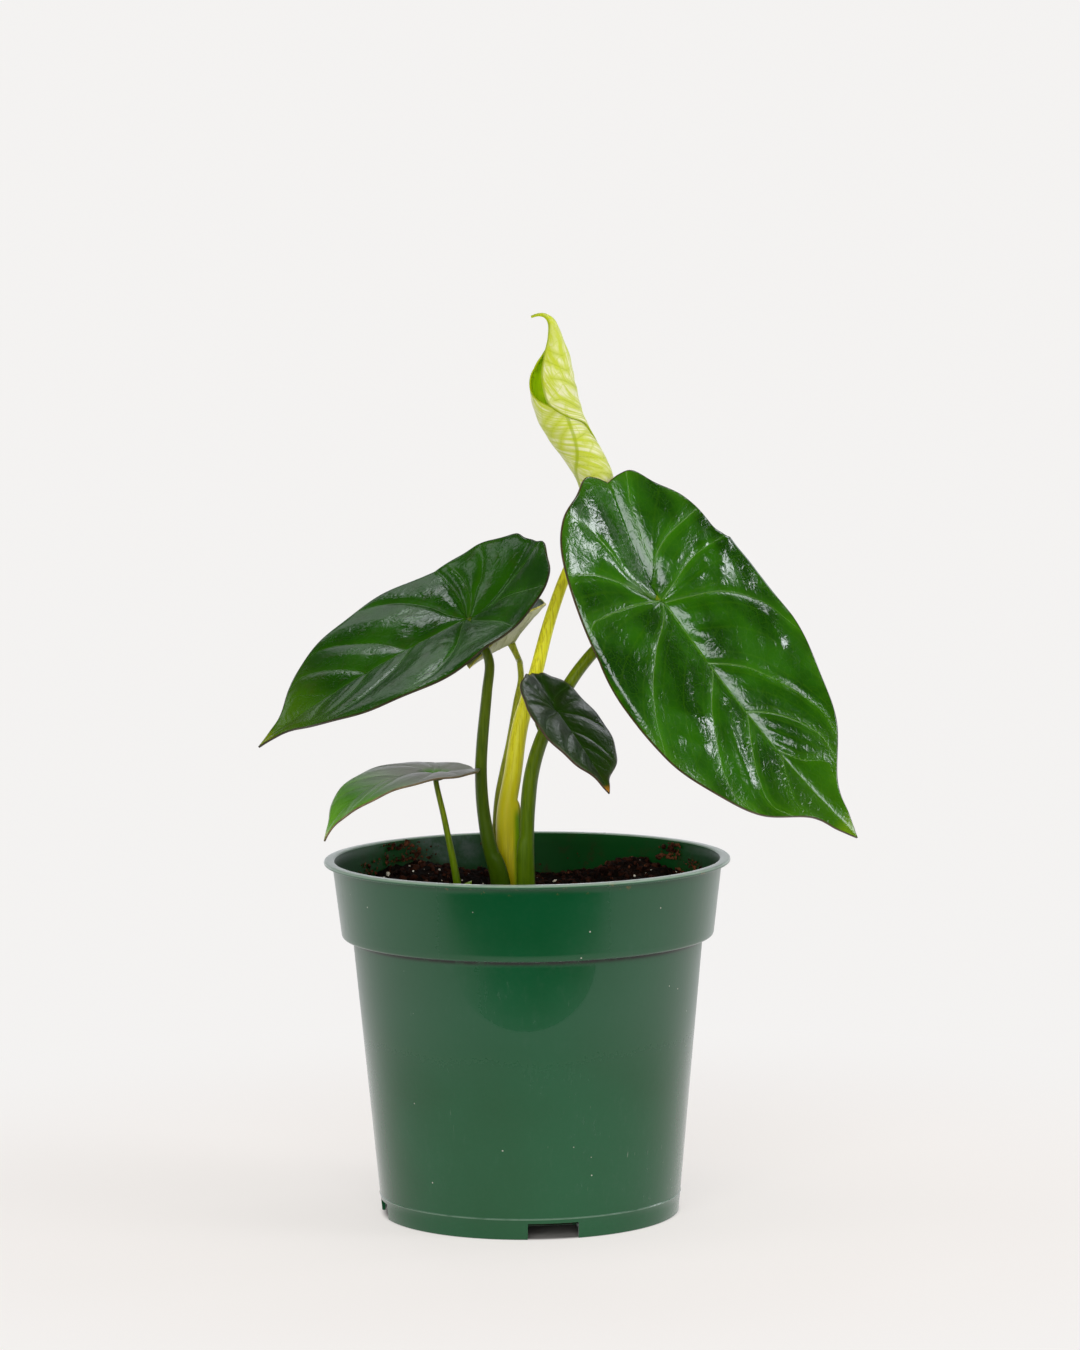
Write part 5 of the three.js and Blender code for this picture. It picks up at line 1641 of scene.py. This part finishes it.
# %% The golden stalk under it
GOLD_STALK = {
    "route": (
        (-5.2, 1.6, 122.45), (-5.4, 1.6, 126.5), (-7, 1.6, 132.6), (-8.1, 2, 142.6),
        (-8, 2, 153.1), (-5.1, 3, 169.9), (-2.3, 4, 187.2), (4.1, 5, 208.2), (9.6, 7, 228),
        (15.9, 9, 245.1), (22.6, 11, 257.2), (27, 12, 264), (28.4, 12, 269.5),
    ),
    "radii": (3.2, 3.7, 3.7, 3.4, 3.1, 2.7, 2.4, 2.2, 2.1, 2.0),
}
grow_stalk("furled", GOLD_STALK["route"], GOLD_STALK["radii"], GOLD,
           SHEATHS["furled"])

# %% [markdown]
# ## Stems and the cut stub
# Most of the stems is buried. What shows between the stalks is a brown, ringed stub, marked by
# the scars of old leaves. Beside the low leaf stands the lime-green stub of a stalk that was
# trimmed off, cut across and a little slanted.

# %% Stems
def stem_finish():
    paint = Paint("stem_bark")
    place = paint.place()
    rings = paint.cloud(paint.scaled(place, (0.3, 0.3, 1)), 500, 3)
    fibres = paint.cloud(paint.scaled(place, (1, 1, 0.1)), 1200, 3)
    colour = paint.mix((0.035, 0.02, 0.01), (0.13, 0.09, 0.035), rings.fade(0.35, 0.65))
    colour = paint.mix(colour, (0.10, 0.13, 0.03), fibres.fade(0.5, 0.75) * 0.6)
    return paint.surface(
        Base_Color=colour, Roughness=0.7 + 0.1 * rings,
        Normal=paint.bump(rings * 2 + fibres, 0.0005, 0.8), Specular_IOR_Level=0.4,
    )


def stem_shape(x, y, radius, foot, top):
    """Ringed stub, a little lumpy, that domes over at the top."""
    profile = [(0, foot)]
    levels = np.linspace(foot, top, 60)
    for height in levels:
        share = (height - foot) / (top - foot)
        width = radius * min(1.0, math.sqrt(share * 6) + 0.3)
        width -= 0.35 * abs(math.sin(height * 0.9)) + 1.4 * share ** 8
        profile.append((width, height))
    profile += [(radius * 0.5, top + 0.25), (0, top + 0.4)]
    shape = turned(profile, 72)
    for vertex in shape.verts:
        push = 1 + 0.03 * noise.noise(vertex.co * 0.25)
        vertex.co.x = vertex.co.x * push + x
        vertex.co.y = vertex.co.y * push + y
    return shape


STEM_BARK = stem_finish()
for name, sizes in STEMS.items():
    make_piece(name + "_stub", stem_shape(*sizes), [STEM_BARK], name + "_stem")

# %% Cut stub
CUT = {
    "x": -23.8, "y": -16.4, "radius": 2.1, "height": 7.4, "slant": 0.9, "lean": 0.6,
    "foot": 122.3, "rings": 12,
}


def cut_stub_shape():
    """A short rod with a slanted, slightly dished cut."""
    radius, height, rings = CUT["radius"], CUT["height"], CUT["rings"]
    profile = [(0, 0), (radius * 0.98, 0)]
    for step in range(1, rings):
        profile.append((radius * (1.02 + 0.03 * math.sin(step)), height * step / rings))
    profile += [(radius, height), (radius * 0.86, height + 0.05), (radius * 0.5, height - 0.25),
                (0, height - 0.3)]
    shape = turned(profile, 32)
    for vertex in shape.verts:
        share = vertex.co.z / height
        vertex.co.z += CUT["slant"] * share * vertex.co.x / radius
        vertex.co.x += CUT["x"] + CUT["lean"] * share
        vertex.co.y += CUT["y"]
        vertex.co.z += CUT["foot"]
    write_layers(shape, {"grain": [(vertex.co.z, 0, 0.5) for vertex in shape.verts]})
    return shape


make_piece("cut_stub", cut_stub_shape(), [LIME], "cut_stalk", 50)
